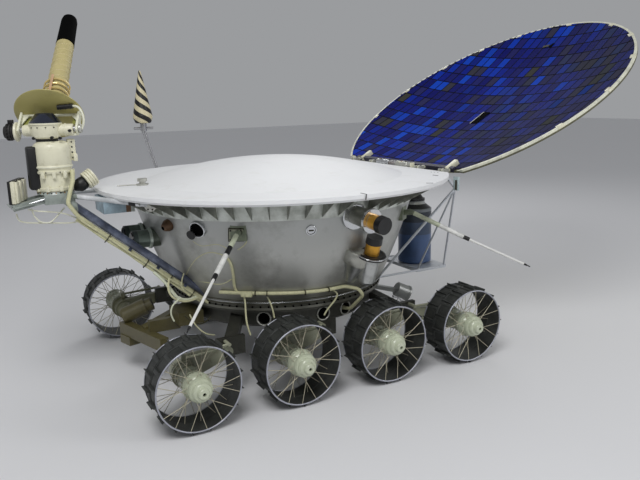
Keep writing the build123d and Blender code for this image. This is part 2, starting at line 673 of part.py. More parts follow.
def harness():
    """Belt round the lower hull, and the aerial's cable from the drum down the truss."""
    belt = []
    for angle, z in BELT:
        reach = lower_wall(z) + BELT_R + BELT_GAP
        belt.append((reach * math.cos(math.radians(angle)), reach * math.sin(math.radians(angle)), z))
    bends = [600] * (len(BELT) - 2) + [60, 34, 40, 60, 60]
    feed = CABLE_START + [tuple(beside_leg(30, 1.0)), tuple(beside_leg(110, 0.5)), tuple(beside_leg(210))]
    feed.append(tuple(beside_leg(960)))
    cable = tube_along(feed, CABLE_R, 38) - hull_tub() - aerial_drum()
    return Compound(children=[tube_along(belt + BELT_END, BELT_R, bends), cable])


def rear_can():
    """Small can on a bracket from the lower ring, behind the left side."""
    can = turned([(-50, 40), (-44, 47), (34, 47), (34, 51), (46, 51), (50, 44)], centre=REAR_CAN, axis=(-0.80, 0.25, -0.40))
    return can.fuse(beam((-520, 255, 400), REAR_CAN, 40, 24)) - chassis_ring()


def aerial_plug():
    """Black plug behind the drum with its ribbed collar."""
    plug = turned([(-24, 12), (0, 20), (70, 20), (70, 34), (78, 46), (112, 46), (120, 34)],
                  centre=(1178, 20, 1164), axis=(-0.86, -0.1, 0.5))
    return plug - aerial_drum()


os.makedirs("parts", exist_ok=True)

SIDES = [("left", True), ("right", False)]

save("hull_tub", hull_tub())
save("top_plate", top_plate())
save("rim_gussets", rim_gussets())
save("chassis", chassis())
one_wheel = wheel()
for side, left in SIDES:
    for number, x in enumerate(WHEEL_X):
        placed = Pos(x, WHEEL_Y, AXLE_Z) * one_wheel
        save(f"wheel_{side}_{number + 1}", mirrored(placed, left))
        save(f"swing_arm_{side}_{number + 1}", mirrored(swing_arm(number), left))
    if left:
        save(f"whip_front_{side}", whip(True, left))
    save(f"whip_rear_{side}", whip(False, left))
    save(f"front_camera_{side}", front_camera(left))
    save(f"side_camera_{side}", side_camera(left))
    save(f"upright_camera_{side}", upright_camera(left))
save("lid_panel", lid_panel())
save("lid_cells", lid_cells())
save("hinge_brackets", hinge_brackets())
save("lid_drive", lid_drive())
save("aerial_truss", aerial_truss())
save("aerial_box", aerial_box())
save("aerial_drum", aerial_drum())
save("aerial_yoke", aerial_yoke())
save("aerial_helix", aerial_helix())
save("cone_mast", cone_mast())
save("cone_aerial", cone_aerial())
save("plate_fitting", plate_fitting())
save("reflector_box", reflector_box())
save("front_instrument", front_instrument())
save("penetrometer", penetrometer())
save("heat_source", heat_source())
save("heat_frame", heat_frame())
save("meter_wheel", meter_wheel())
save("meter_arm", meter_arm())
save("meter_bracket", meter_bracket())
save("harness", harness())
save("aerial_plug", aerial_plug())
save("hull_fittings", hull_fittings())
save("rear_can", rear_can())
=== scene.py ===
import bpy
import math
from mathutils import Matrix, Vector


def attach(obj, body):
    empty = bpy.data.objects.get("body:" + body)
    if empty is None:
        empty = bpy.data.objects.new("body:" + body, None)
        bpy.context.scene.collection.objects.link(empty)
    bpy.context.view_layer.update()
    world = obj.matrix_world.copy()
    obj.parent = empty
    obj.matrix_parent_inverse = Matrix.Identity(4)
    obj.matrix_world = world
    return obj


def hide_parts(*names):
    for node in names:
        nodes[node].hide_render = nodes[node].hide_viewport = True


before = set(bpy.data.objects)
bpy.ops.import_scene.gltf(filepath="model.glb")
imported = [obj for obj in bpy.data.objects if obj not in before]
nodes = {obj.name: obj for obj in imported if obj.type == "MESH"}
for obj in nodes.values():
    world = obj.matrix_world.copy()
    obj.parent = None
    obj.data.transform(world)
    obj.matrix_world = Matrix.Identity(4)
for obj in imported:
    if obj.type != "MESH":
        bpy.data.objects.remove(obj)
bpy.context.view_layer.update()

# The drawing frame is in millimetres about the hull's axis; these two numbers place it
HULL_AHEAD = 535.0
GROUND_Z = 11.0
MM = 0.001

# Wheels
AXLE_Z = 245.0
WHEEL_X = [852.5, 284.2, -284.2, -852.5]
WHEEL_Y = 800.0
HOOP_R = 217.0
LUG_TIP = 234.0
LUG_ROWS = 16
SPOKES = 16

# Top plate and lid: the hinge is x and height, the lid's middle is x when shut
RIM_Z = 1136.0
HINGE = (-925.0, 1137.0)
LID_LIFT = 30.6
LID_MID_X = -47.0
CLIP_R = 1048.0
CLIP_ANGLES = (-18.4, 3.7, 26.3, 47, 65.6, 91, 116, 134, 152.6, 173.8, 196)
NOTCH_R = 1050.0

# Solar cells: across the lid and along it
CELL_WIDE = 77.6
CELL_LONG = 117.4
CELL_ASIDE = 17.0
CELL_START = 27.0

# Steerable aerial
DRUM_BASE_Z = 1150.0
MAST_X = 1290.0
PIVOT_Z = 1473.0
AERIAL_YAW = -23.0
AERIAL_LEAN = 47.0
PLATE_SHIFT = 13.0
CUP_SHIFT = 18.0

# Left side's cameras and left front rod aerial, as points of the drawing frame
SIDE_CAMERA = ((-52, 740, 1010), (-100, 1090, 965))
UPRIGHT_CAMERA = ((-165, 775, 560), (-178, 868, 868))
FRONT_CAMERA = (690, 95, 850)
WHIP_FOOT = ((555, 625, 958), (499, 670, 958), (493, 648, 894), (549, 601, 892))
WHIP_START = (545, 700, 940)
WHIP_JOINT = (748, 920, 806)
WHIP_TIP = (990, 1200, 655)
FAIRING_FOOT = (-108, 706, 600)
FAIRING_WAY = (-0.20, 0.32, 0.93)

# Other places in the drawing frame
CONE_FOOT = (530, -1016, 1452)
PLUG_AT = (1178, 20, 1164)
PLUG_WAY = (-0.86, -0.1, 0.5)
LEG_ENDS = ((1265, 80, 1110), (590, 288, 536))
UPPER_ROD = ((1260, 60, 1128), (878, 396, 1079))
HEAT_FOOT = (-1092, 0, 430)
REFLECTOR_FRONT = (1072, 0, 1050)

# Hull's profile: radius and height at its foot, its middle and its belt
HULL_FOOT = (647.0, 474.0)
HULL_MID = (758.0, 725.0)
HULL_BELT = (845.0, 985.0)
WALL_BULGE = 12.0

# Openings on the hull: direction in degrees from straight ahead, and height
OPEN_PORT = (35.8, 948)
SMALL_COVER = (77.5, 936)
BROWN_CONE = (21.5, 953)
RING_PORTS = (56.7, 89.8, 105.2)
RING_PORT_Z = 395
BELT_TIES = ((54.9, 575), (76.8, 567), (60, 574.6), (88, 565))
BELT_BOX = 51

# Skirt under the rim: how it leans out with height, and the reach at the ground where a rib starts, in metres
SKIRT_LEAN = 0.315
SKIRT_EDGE = 0.5514

# Photograph's view: camera place in the drawing frame, its right, down and forward directions
CAMERA_AT = (1792.2, 3839.6, 1616.0)
CAMERA_RIGHT = (-0.873916, 0.485549, -0.022656)
CAMERA_DOWN = (0.120947, 0.172068, -0.977632)
CAMERA_AHEAD = (-0.470790, -0.857108, -0.209099)
CAMERA_LENS = 38.07


def spot(x, y, z):
    """A point of the drawing frame as metres in the shared frame."""
    return Vector((x + HULL_AHEAD, y, z - GROUND_Z)) * MM


def spots(route):
    """Several points of the drawing frame."""
    return [spot(*point) for point in route]


def bare(x, y, z):
    """Millimetres to metres, with no shift."""
    return Vector((x, y, z)) * MM


def shade(red, green, blue):
    """A colour as it looks on a screen, 0 to 255, as linear light."""
    out = []
    for level in (red, green, blue):
        part = level / 255
        out.append(part / 12.92 if part <= 0.04045 else ((part + 0.055) / 1.055) ** 2.4)
    return (out[0], out[1], out[2], 1.0)


# Making shapes

def placed(name, data):
    """A new object in the scene."""
    piece = bpy.data.objects.new(name, data)
    bpy.context.collection.objects.link(piece)
    return piece


def facing(way):
    """The turn that points the z axis along a direction."""
    return Vector(way).to_track_quat("Z", "Y")


def twist(angle, axis):
    """A turn by an angle in degrees."""
    return Matrix.Rotation(math.radians(angle), 4, axis)


def only(piece):
    """Select one piece alone and make it active."""
    bpy.ops.object.select_all(action="DESELECT")
    piece.select_set(True)
    bpy.context.view_layer.objects.active = piece
    return piece


def dressed(piece, finish):
    """Give a piece one finish."""
    piece.data.materials.clear()
    piece.data.materials.append(finish)
    return piece


def settle(piece, finish):
    """Put a piece's place, turn and size into its mesh and give it a finish."""
    only(piece)
    bpy.ops.object.transform_apply(location=True, rotation=True, scale=True)
    return dressed(piece, finish)


def bar(start, end, radius, finish, sides=12, tip=None):
    """A round bar between two points; tip is its end radius where it tapers."""
    way = end - start
    turn = facing(way).to_euler()
    bpy.ops.object.select_all(action="DESELECT")
    bpy.ops.mesh.primitive_cone_add(vertices=sides, radius1=radius, radius2=radius if tip is None else tip,
                                    depth=way.length, location=(start + end) / 2, rotation=turn)
    piece = settle(bpy.context.object, finish)
    bpy.ops.object.shade_smooth_by_angle(angle=math.radians(40))
    return piece


def slab(centre, size, finish, turn=(0, 0, 0), edge=0.0):
    """A rectangular block with its edges eased."""
    bpy.ops.object.select_all(action="DESELECT")
    bpy.ops.mesh.primitive_cube_add(size=1, location=centre, rotation=[math.radians(a) for a in turn])
    piece = bpy.context.object
    piece.scale = size
    settle(piece, finish)
    if edge:
        bpy.ops.object.mode_set(mode="EDIT")
        bpy.ops.mesh.select_all(action="SELECT")
        bpy.ops.mesh.bevel(offset=edge, segments=2, affect="EDGES")
        bpy.ops.object.mode_set(mode="OBJECT")
        bpy.ops.object.shade_smooth_by_angle(angle=math.radians(35))
    return piece


def ring(centre, way, major, minor, finish, around=48, across=8):
    """A torus round a direction."""
    turn = facing(way).to_euler()
    bpy.ops.object.select_all(action="DESELECT")
    bpy.ops.mesh.primitive_torus_add(location=centre, rotation=turn, major_radius=major, minor_radius=minor,
                                     major_segments=around, minor_segments=across)
    piece = settle(bpy.context.object, finish)
    bpy.ops.object.shade_smooth()
    return piece


def turned(rows, finish, centre=(0, 0, 0), way=(0, 0, 1), steps=40):
    """A turned part: rows are distance along the axis and radius, in millimetres."""
    points = [(radius * MM, 0, along * MM) for along, radius in rows]
    mesh = bpy.data.meshes.new("profile")
    mesh.from_pydata(points, [(step, step + 1) for step in range(len(points) - 1)], [])
    piece = placed("turned", mesh)
    only(piece)
    bpy.ops.object.mode_set(mode="EDIT")
    bpy.ops.mesh.select_all(action="SELECT")
    bpy.ops.mesh.spin(steps=steps, angle=math.tau, center=(0, 0, 0), axis=(0, 0, 1))
    bpy.ops.mesh.select_all(action="SELECT")
    bpy.ops.mesh.remove_doubles(threshold=0.00002)
    bpy.ops.mesh.normals_make_consistent(inside=False)
    bpy.ops.object.mode_set(mode="OBJECT")
    bpy.ops.object.shade_smooth_by_angle(angle=math.radians(35))
    piece.rotation_euler = facing(way).to_euler()
    piece.location = centre
    return settle(piece, finish)


def wire(points, radius, finish, fine=1):
    """A round wire or cable along points, as a mesh."""
    curve = bpy.data.curves.new("wire", "CURVE")
    curve.dimensions = "3D"
    curve.bevel_depth = radius
    curve.bevel_resolution = fine
    curve.use_fill_caps = True
    curve.resolution_u = 6
    line = curve.splines.new("NURBS")
    line.points.add(len(points) - 1)
    for place, point in zip(line.points, points):
        place.co = (point[0], point[1], point[2], 1)
    line.order_u = 3
    line.use_endpoint_u = True
    piece = placed("wire", curve)
    only(piece)
    bpy.ops.object.convert(target="MESH")
    bpy.ops.object.shade_smooth_by_angle(angle=math.radians(40))
    return dressed(bpy.context.object, finish)


def sheet_of(corners, thick, finish):
    """A flat plate through its corner points, given a thickness both ways."""
    mesh = bpy.data.meshes.new("plate")
    mesh.from_pydata(corners, [], [tuple(range(len(corners)))])
    piece = placed("plate", mesh)
    only(piece)
    wall = piece.modifiers.new("wall", "SOLIDIFY")
    wall.thickness = thick
    wall.offset = 0
    bpy.ops.object.modifier_apply(modifier="wall")
    return dressed(piece, finish)


def moved(piece, matrix):
    """Move a piece's mesh by a matrix, its faces kept outwards."""
    piece.data.transform(matrix)
    if matrix.determinant() < 0:
        piece.data.flip_normals()
    piece.data.update()
    return piece


def copy_of(piece, matrix):
    """A copy with its own mesh, moved by a matrix."""
    other = piece.copy()
    other.data = piece.data.copy()
    bpy.context.collection.objects.link(other)
    return moved(other, matrix)


def joined(parts):
    """Join parts to one mesh, which keeps the first one's object."""
    bpy.ops.object.select_all(action="DESELECT")
    for part in parts:
        part.select_set(True)
    bpy.context.view_layer.objects.active = parts[0]
    if len(parts) > 1:
        bpy.ops.object.join()
    return bpy.context.object


def fitted(parts, name, body, stands_for=(), place=Matrix()):
    """Join parts to one named piece, move it to its place and let it ride on a body."""
    piece = moved(joined(parts), place)
    piece.name = name
    piece.data.name = name
    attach(piece, body)
    if stands_for:
        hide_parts(*stands_for)
    return piece


# Finishes

class Finish:
    """A material under construction: its shader's inputs and the nodes that feed them."""

    def __init__(self, name):
        self.material = bpy.data.materials.new(name)
        self.material.use_nodes = True
        self.tree = self.material.node_tree
        self.shader = self.tree.nodes["Principled BSDF"].inputs
        self.place = self.node("TexCoord").outputs["Object"]

    def node(self, kind, **settings):
        """A new node with its settings."""
        made = self.tree.nodes.new("ShaderNode" + kind)
        for key, value in settings.items():
            setattr(made, key, value)
        return made

    def feed(self, socket, value):
        """Link another node's output to a socket, or give it a plain value."""
        if isinstance(value, bpy.types.NodeSocket):
            self.tree.links.new(value, socket)
        else:
            socket.default_value = value

    def axes(self, vector):
        """A vector's x, y and z."""
        split = self.node("SeparateXYZ")
        self.feed(split.inputs[0], vector)
        return split.outputs

    def maths(self, operation, *values):
        """One sum on numbers."""
        made = self.node("Math", operation=operation)
        for socket, value in zip(made.inputs, values):
            self.feed(socket, value)
        return made.outputs[0]

    def vectors(self, operation, first, name, second):
        """One sum on a vector and a second input, which has a name or a number."""
        made = self.node("VectorMath", operation=operation)
        self.feed(made.inputs[0], first)
        self.feed(made.inputs[name], second)
        return made.outputs

    def noise(self, scale, detail=5.0, rough=0.6, place=None):
        """Uneven tone in space."""
        made = self.node("TexNoise")
        for name, value in (("Scale", scale), ("Detail", detail), ("Roughness", rough),
                            ("Vector", place or self.place)):
            self.feed(made.inputs[name], value)
        return made.outputs["Fac"]

    def ramp(self, level, stops, kind="LINEAR"):
        """A colour ramp: stops are position and colour, three numbers for a colour as on a screen."""
        made = self.node("ValToRGB")
        band = made.color_ramp
        band.interpolation = kind
        while len(band.elements) < len(stops):
            band.elements.new(0.5)
        for element, (position, colour) in zip(band.elements, stops):
            element.position = position
            element.color = colour if len(colour) == 4 else shade(*colour)
        self.feed(made.inputs["Fac"], level)
        return made.outputs["Color"]

    def mixed(self, level, first, second):
        """From the first colour to the second."""
        made = self.node("Mix", data_type="RGBA")
        colours = [socket for socket in made.inputs if socket.type == "RGBA"]
        for socket, value in zip([made.inputs[0]] + colours, (level, first, second)):
            self.feed(socket, value)
        return [socket for socket in made.outputs if socket.type == "RGBA"][0]

    def done(self, colour, gloss, relief, metal=0.0, coat=0.0):
        """Fill the shader: gloss is a level and two roughnesses, relief a height, strength and depth."""
        span, bump = self.node("MapRange"), self.node("Bump")
        for name, value in zip(("Value", "To Min", "To Max"), gloss):
            self.feed(span.inputs[name], value)
        for name, value in zip(("Height", "Strength", "Distance"), relief):
            self.feed(bump.inputs[name], value)
        for name, value in (("Base Color", colour), ("Roughness", span.outputs["Result"]),
                            ("Metallic", metal),
                            ("Coat Weight", coat), ("Normal", bump.outputs["Normal"])):
            self.feed(self.shader[name], value)
        return self.material


CLEAR = (0, 0, 0, 1)
FULL = (1, 1, 1, 1)
RELIEF = 0.002


def tinted(colour, factor):
    """A colour made darker or lighter."""
    return (colour[0] * factor, colour[1] * factor, colour[2] * factor, 1.0)


def finish_of(name, colour, rough=0.45, metal=0.0, mottle=0.12, size=7.0, grain=0.12, coat=0.0, dirt=None):
    """Paint or bare metal with uneven tone, fine grain and a change of gloss."""
    made, colour = Finish(name), shade(*colour)
    tone = made.ramp(made.noise(size), [(0.30, tinted(colour, 1 - mottle)), (0.52, colour),
                                        (0.75, tinted(colour, 1 + mottle))])
    fine = made.noise(size * 22, 3.0)
    if dirt:
        patch = made.ramp(made.noise(size * 2.3, 8.0, 0.75), [(0.55, CLEAR), (0.72, FULL)])
        tone = made.mixed(made.maths("MULTIPLY", patch, 0.55), tone, shade(*dirt))
    made.shader["Coat Roughness"].default_value = 0.12
    return made.done(tone, (fine, rough - 0.09, rough + 0.11), (fine, grain, RELIEF), metal, coat)


HOOP = finish_of("bare_hoop", (172, 174, 184), 0.38, 0.55, 0.10, 30)
LUG = finish_of("lug_plate", (66, 68, 66), 0.5, 0.3, 0.30, 26, 0.3, dirt=(36, 35, 32))
WIRE = finish_of("spoke_wire", (186, 180, 158), 0.45, 0.25, 0.15, 40)
HUB = finish_of("hub_enamel", (192, 198, 174), 0.26, 0.0, 0.08, 22, 0.05, coat=0.5, dirt=(122, 124, 98))
# Matte near-black: painted shade inside holes, slots and ports; also the black of the aerial tube's end and
# of screws.
HOLE = finish_of("dark_hole", (12, 12, 12), 0.7, 0.0, 0.1, 30)
HOUSING = finish_of("housing_enamel", (158, 160, 138), 0.42, 0.0, 0.14, 16, 0.1, coat=0.2, dirt=(84, 82, 62))
WHITE = finish_of("radiator_white", (232, 233, 234), 0.5, 0.0, 0.025, 2.5, 0.03, dirt=(216, 216, 212))
CREAM = finish_of("cream_enamel", (224, 221, 196), 0.38, 0.0, 0.06, 9, 0.06, coat=0.25, dirt=(176, 170, 136))
PALE = finish_of("pale_rim", (226, 226, 206), 0.42, 0.0, 0.05, 9, 0.05)
BLACK = finish_of("black_enamel", (12, 12, 13), 0.46, 0.0, 0.2, 14, 0.05)
RUBBER = finish_of("black_ribbed", (30, 29, 28), 0.6, 0.0, 0.2, 20, 0.2)
TAN = finish_of("tan_tube", (186, 174, 122), 0.45, 0.0, 0.07, 12, 0.08, dirt=(142, 126, 82))
OLIVE_DISC = finish_of("olive_plate", (172, 163, 100), 0.42, 0.1, 0.08, 5, 0.05, coat=0.2,
                       dirt=(136, 128, 72))
ALLOY = finish_of("machined_alloy", (188, 188, 180), 0.32, 0.6, 0.12, 18, 0.08, dirt=(110, 108, 96))
STEEL = finish_of("thin_steel", (170, 170, 172), 0.3, 0.7, 0.12, 20, 0.06)
BRASS = finish_of("warm_brass", (172, 130, 76), 0.3, 0.75, 0.15, 20, 0.08)
BARREL_LIGHT = finish_of("camera_silver", (160, 162, 160), 0.36, 0.5, 0.12, 14, 0.06)
OLIVE = finish_of("instrument_olive", (84, 78, 46), 0.45, 0.0, 0.2, 12, 0.08, coat=0.2, dirt=(46, 42, 26))
CHASSIS = finish_of("chassis_alloy", (64, 64, 58), 0.42, 0.45, 0.3, 9, 0.15, dirt=(34, 33, 28))
CABLE = finish_of("cream_cable", (200, 198, 160), 0.6, 0.0, 0.12, 60, 0.3, dirt=(150, 140, 100))
CHROME = finish_of("bright_ring", (206, 208, 210), 0.14, 0.95, 0.06, 20, 0.02)
TAN_LINE = finish_of("tan_bright_line", (206, 192, 146), 0.4, 0.0, 0.06, 20, 0.05)
COIL = finish_of("coil_gold", (226, 204, 140), 0.28, 0.35, 0.12, 30, 0.03)
STRAP = finish_of("coil_strap", (214, 176, 138), 0.35, 0.3, 0.1, 30, 0.05)
# Black cone with a blue tint: partly its glossy black, partly a painted blue reflection.
CONE_BLACK = finish_of("glossy_black", (34, 42, 62), 0.14, 0.6, 0.2, 20, 0.01, coat=0.8)
FRAME_OLIVE = finish_of("frame_olive", (146, 148, 72), 0.5, 0.0, 0.1, 12, 0.06, dirt=(96, 98, 44))
PALE_BLUE = finish_of("foot_blue", (172, 188, 190), 0.45, 0.05, 0.08, 12, 0.06, dirt=(120, 134, 134))
TIE = finish_of("dark_tie", (56, 54, 34), 0.6, 0.0, 0.2, 30, 0.1)
SCREW = finish_of("screw_head", (70, 68, 60), 0.35, 0.7, 0.2, 40, 0.05)
HOSE = finish_of("pale_hose", (206, 210, 186), 0.5, 0.0, 0.1, 40, 0.2, dirt=(150, 150, 116))
FAIRING = finish_of("fairing_sheet", (172, 172, 164), 0.3, 0.7, 0.14, 9, 0.05, dirt=(96, 96, 84))
WHITE_ROD = finish_of("white_rod", (226, 226, 222), 0.34, 0.1, 0.06, 20, 0.03)
STRUT = finish_of("bright_strut", (204, 208, 214), 0.34, 0.3, 0.10, 16, 0.05, dirt=(140, 144, 150))
# Housing enamel made darker: painted shade for the right side's swing arms, which show only their inner side.
SHADED_HOUSING = finish_of("housing_shaded", (108, 108, 84), 0.44, 0.0, 0.16, 16, 0.1, coat=0.1,
                        dirt=(58, 56, 40))
STRIP = finish_of("lid_strip", (40, 38, 58), 0.5, 0.0, 0.2, 12, 0.06)
COPPER = finish_of("copper_cone", (96, 72, 52), 0.35, 0.5, 0.25, 30, 0.08)

# Next to no mirror on the dark openings and the cells
FAINT_IOR = 1.05
HOLE.node_tree.nodes["Principled BSDF"].inputs["IOR"].default_value = FAINT_IOR


def tread_finish():
    """Dark woven wire between the hoops: crossed strands set on the drum's own angle, lighter than the gaps
    between them, which hold painted shade.
    """
    made = Finish("tread_mesh")
    across, along, _ = made.axes(made.node("UVMap", uv_map="weave").outputs["UV"])
    strands = [made.maths("PINGPONG", made.maths("MULTIPLY_ADD", along, sign, across), 0.5) for sign in (1,
                                                                                                         -1)]
    weave = made.maths("MAXIMUM", *strands)
    broad = made.noise(11.0)
    # The dark ramp is painted shade seen through the gaps between the strands.
    dark = made.ramp(broad, [(0.3, (20, 21, 20)), (0.7, (44, 45, 44))])
    light = made.ramp(broad, [(0.3, (56, 58, 56)), (0.7, (92, 94, 90))])
    mask = made.ramp(weave, [(0.30, CLEAR), (0.44, FULL)])
    return made.done(made.mixed(mask, dark, light), (weave, 0.62, 0.42), (weave, 0.5, 0.001), 0.3)


def cell_finish():
    """Rows of solar cells, each its own blue, violet or grey, with dark gaps between."""
    made = Finish("solar_cells")
    lay = made.node("Mapping", vector_type="TEXTURE")
    for name, value in (("Location", spot(HINGE[0], 0, HINGE[1])), ("Vector", made.place),
                        ("Rotation", (0, math.radians(LID_LIFT - 180), 0))):
        made.feed(lay.inputs[name], value)
    ahead, aside, _ = made.axes(lay.outputs[0])
    column = made.maths("MULTIPLY_ADD", aside, 1 / (CELL_WIDE * MM), CELL_ASIDE / CELL_WIDE)
    row = made.maths("MULTIPLY_ADD", ahead, 1 / (CELL_LONG * MM), -CELL_START / CELL_LONG)
    cell = made.node("CombineXYZ")
    for socket, value in zip(cell.inputs, (column, row)):
        made.feed(socket, made.maths("FLOOR", value))
    chance = made.node("TexWhiteNoise", noise_dimensions="3D")
    made.feed(chance.inputs["Vector"], cell.outputs[0])
    level = chance.outputs["Value"]
    deep = made.ramp(level, [
        (0.00, (6, 14, 96)), (0.24, (8, 26, 128)), (0.42, (10, 48, 166)), (0.54, (16, 72, 196)),
        (0.66, (14, 20, 104)), (0.82, (34, 38, 108)), (0.92, (54, 54, 78)), (1.00, (66, 66, 58))])
    dull = made.ramp(level, [
        (0.00, (26, 30, 84)), (0.25, (36, 44, 108)), (0.50, (40, 42, 84)),
        (0.75, (52, 52, 78)), (0.90, (58, 60, 58)), (1.00, (24, 52, 128))])
    groups = made.vectors("SCALE", cell.outputs[0], "Scale", 0.19)[0]
    patch = made.noise(1.0, 3.0, 0.7, groups)
    towards_left = made.maths("MULTIPLY_ADD", aside, 0.32, patch)
    colour = made.mixed(made.ramp(towards_left, [(0.42, CLEAR), (0.70, FULL)]), deep, dull)
    near_side = made.maths("LESS_THAN", made.maths("PINGPONG", column, 0.5), 0.062)
    near_end = made.maths("LESS_THAN", made.maths("PINGPONG", row, 0.5), 0.042)
    gap = made.maths("MAXIMUM", near_side, near_end)
    made.shader["IOR"].default_value = FAINT_IOR
    raised = made.maths("SUBTRACT", 1.0, gap)
    return made.done(made.mixed(gap, colour, shade(2, 2, 8)), (level, 0.38, 0.58), (raised, 0.4, 0.001))


def spiral_finish(name, foot, turns, height, first, second, share=0.5, starts=3):
    """Painted bands that wind down round an upright cone."""
    made = Finish(name)
    x, y, z = made.axes(made.place)
    way = made.maths("ARCTAN2", made.maths("SUBTRACT", y, foot.y), made.maths("SUBTRACT", x, foot.x))
    angle = made.maths("MULTIPLY", way, starts / math.tau)
    climb = made.maths("MULTIPLY", made.maths("SUBTRACT", z, foot.z), turns / height)
    band = made.maths("LESS_THAN", made.maths("FRACT", made.maths("ADD", climb, angle)), share)
    broad = made.noise(30.0)
    light = made.ramp(broad, [(0.3, tinted(second, 0.88)), (0.7, second)])
    return made.done(made.mixed(band, light, first), (broad, 0.35, 0.5), (band, 0.25, 0.001))


def zoned_finish(name, start, way, rows, rough=0.4, size=18.0, grain=0.06):
    """Bands along a line: rows are the distance in millimetres where a band starts, colour, metal."""
    made = Finish(name)
    offset = made.vectors("SUBTRACT", made.place, 1, start)[0]
    along = made.vectors("DOT_PRODUCT", offset, 1, Vector(way).normalized())["Value"]
    reach = max(row[0] for row in rows) + 1.0
    level = made.maths("DIVIDE", along, reach * MM)
    paints = made.ramp(level, [(row[0] / reach, row[1]) for row in rows], "CONSTANT")
    metals = made.ramp(level, [(row[0] / reach, (row[2], row[2], row[2], 1.0)) for row in rows], "CONSTANT")
    dim = made.mixed(0.45, paints, (0.02, 0.02, 0.02, 1.0))
    patch = made.ramp(made.noise(size, 6.0), [(0.34, (0.7, 0.7, 0.7, 1)), (0.56, CLEAR)])
    fine = made.noise(size * 14, 3.0)
    tone = made.mixed(patch, paints, dim)
    return made.done(tone, (fine, rough - 0.08, rough + 0.1), (fine, grain, RELIEF), metals)


TREAD = tread_finish()
CELLS = cell_finish()
CONE = spiral_finish("cone_spiral", spot(*CONE_FOOT), 5.0, 0.362, shade(18, 17, 16), shade(216, 206, 170))

# Painted bands of the nodes: distance where a band starts, its colour and how metallic it is
TIN = (188, 190, 188)
SOOT = (20, 20, 21)
AMBER = (214, 160, 62)
SIDE_BANDS = [(0, (140, 140, 130), 0.7), (238, (196, 198, 196), 0.8), (251, AMBER, 0.75), (306, SOOT, 0.1)]
CAN_BANDS = [(0, TIN, 0.9), (205, (58, 58, 56), 0.5), (218, AMBER, 0.75), (282, SOOT, 0.1)]
FRONT_BANDS = [(0, (96, 104, 92), 0.35), (136, (196, 206, 196), 0.6),
               (151, (108, 120, 112), 0.45), (215, (72, 82, 80), 0.4), (239, SOOT, 0.2)]
WHIP_COLLAR = 112
WHIP_BANDS = [(0, (120, 128, 108), 0.3), (12, (196, 202, 176), 0.1), (WHIP_COLLAR, SOOT, 0.1),
              (176, (226, 226, 222), 0.1), (350, SOOT, 0.1), (392, (226, 226, 222), 0.2), (690, SOOT, 0.1)]
REAR_WHIP_BANDS = [band for band in WHIP_BANDS if band[0] != WHIP_COLLAR]
HEAT_BANDS = [(0, (72, 96, 138), 0.1), (210, (62, 78, 104), 0.1), (300, (44, 52, 62), 0.2),
              (372, (120, 126, 130), 0.5), (394, (30, 32, 36), 0.2), (421, (190, 192, 192), 0.8),
              (442, (24, 25, 27), 0.1)]
REFLECTOR_BANDS = [(0, (166, 188, 200), 0.05), (120, (120, 84, 50), 0.0),
                   (146, (206, 212, 206), 0.05)]
# Lid rim: pale top, then a dark band that is a painted shadow line under the rim's edge, then the pale shell.
LID_RIM_SHADE_BANDS = [(0, (226, 226, 206), 0.0), (19, (96, 94, 70), 0.0), (34, (206, 204, 184), 0.0)]


def on_side(point, sign, ahead=1):
    """A point of the left front, mirrored to the right where sign is -1 and to the rear where ahead is -1."""
    return spot(ahead * point[0], sign * point[1], point[2])


def paint_bands(node, start, way, rows, rough, size=18.0):
    """Give a CAD node painted bands along a line."""
    paint(node, zoned_finish(f"{node}_bands", start, way, rows, rough, size))


def camera_finishes(side, sign):
    """Banded paint of one side's cameras."""
    low, high = [on_side(point, sign) for point in SIDE_CAMERA]
    paint_bands(f"side_camera_{side}", low, high - low, SIDE_BANDS, 0.3)
    low, high = [on_side(point, sign) for point in UPRIGHT_CAMERA]
    paint_bands(f"upright_camera_{side}", low, high - low, CAN_BANDS, 0.32)
    paint_bands(f"front_camera_{side}", on_side(FRONT_CAMERA, sign), (1, 0, 0), FRONT_BANDS, 0.3)


def whip_finish(node, front, sign):
    """Banded paint of one jointed rod aerial."""
    ahead = 1 if front else -1
    start, joint = on_side(WHIP_START, sign, ahead), on_side(WHIP_JOINT, sign, ahead)
    paint_bands(node, start, joint - start, WHIP_BANDS if front else REAR_WHIP_BANDS, 0.35)


def hull_finish():
    """Bare dented sheet: darker below the cable belt, with painted shadow close under the rim and broad
    patches of painted shade for its uneven reflections.
    """
    made = Finish("hull_skin")
    low, high = spot(0, 0, 460).z, spot(0, 0, 1105).z
    height = made.maths("MULTIPLY_ADD", made.axes(made.place)[2], 1 / (high - low), -low / (high - low))
    # The darkening at the top of the ramp is painted shadow under the rim.
    zones = made.ramp(height, [
        (0.00, (104, 104, 96)), (0.12, (126, 126, 118)), (0.19, (164, 164, 158)),
        (0.50, (184, 185, 181)), (0.82, (172, 174, 172)), (1.00, (128, 130, 126))])
    # Broad darker patches: painted shade standing in for the sheet's uneven reflections.
    reflection_shade = made.ramp(made.noise(3.0, 7.0, 0.65), [(0.30, (0.6, 0.6, 0.6, 1)), (0.52, CLEAR)])
    tone = made.mixed(reflection_shade, zones, shade(104, 102, 92))
    dents = made.noise(11.0, 3.0, 0.5)
    return made.done(tone, (made.noise(60.0, 3.0), 0.26, 0.44), (dents, 0.35, 0.006), 0.6)


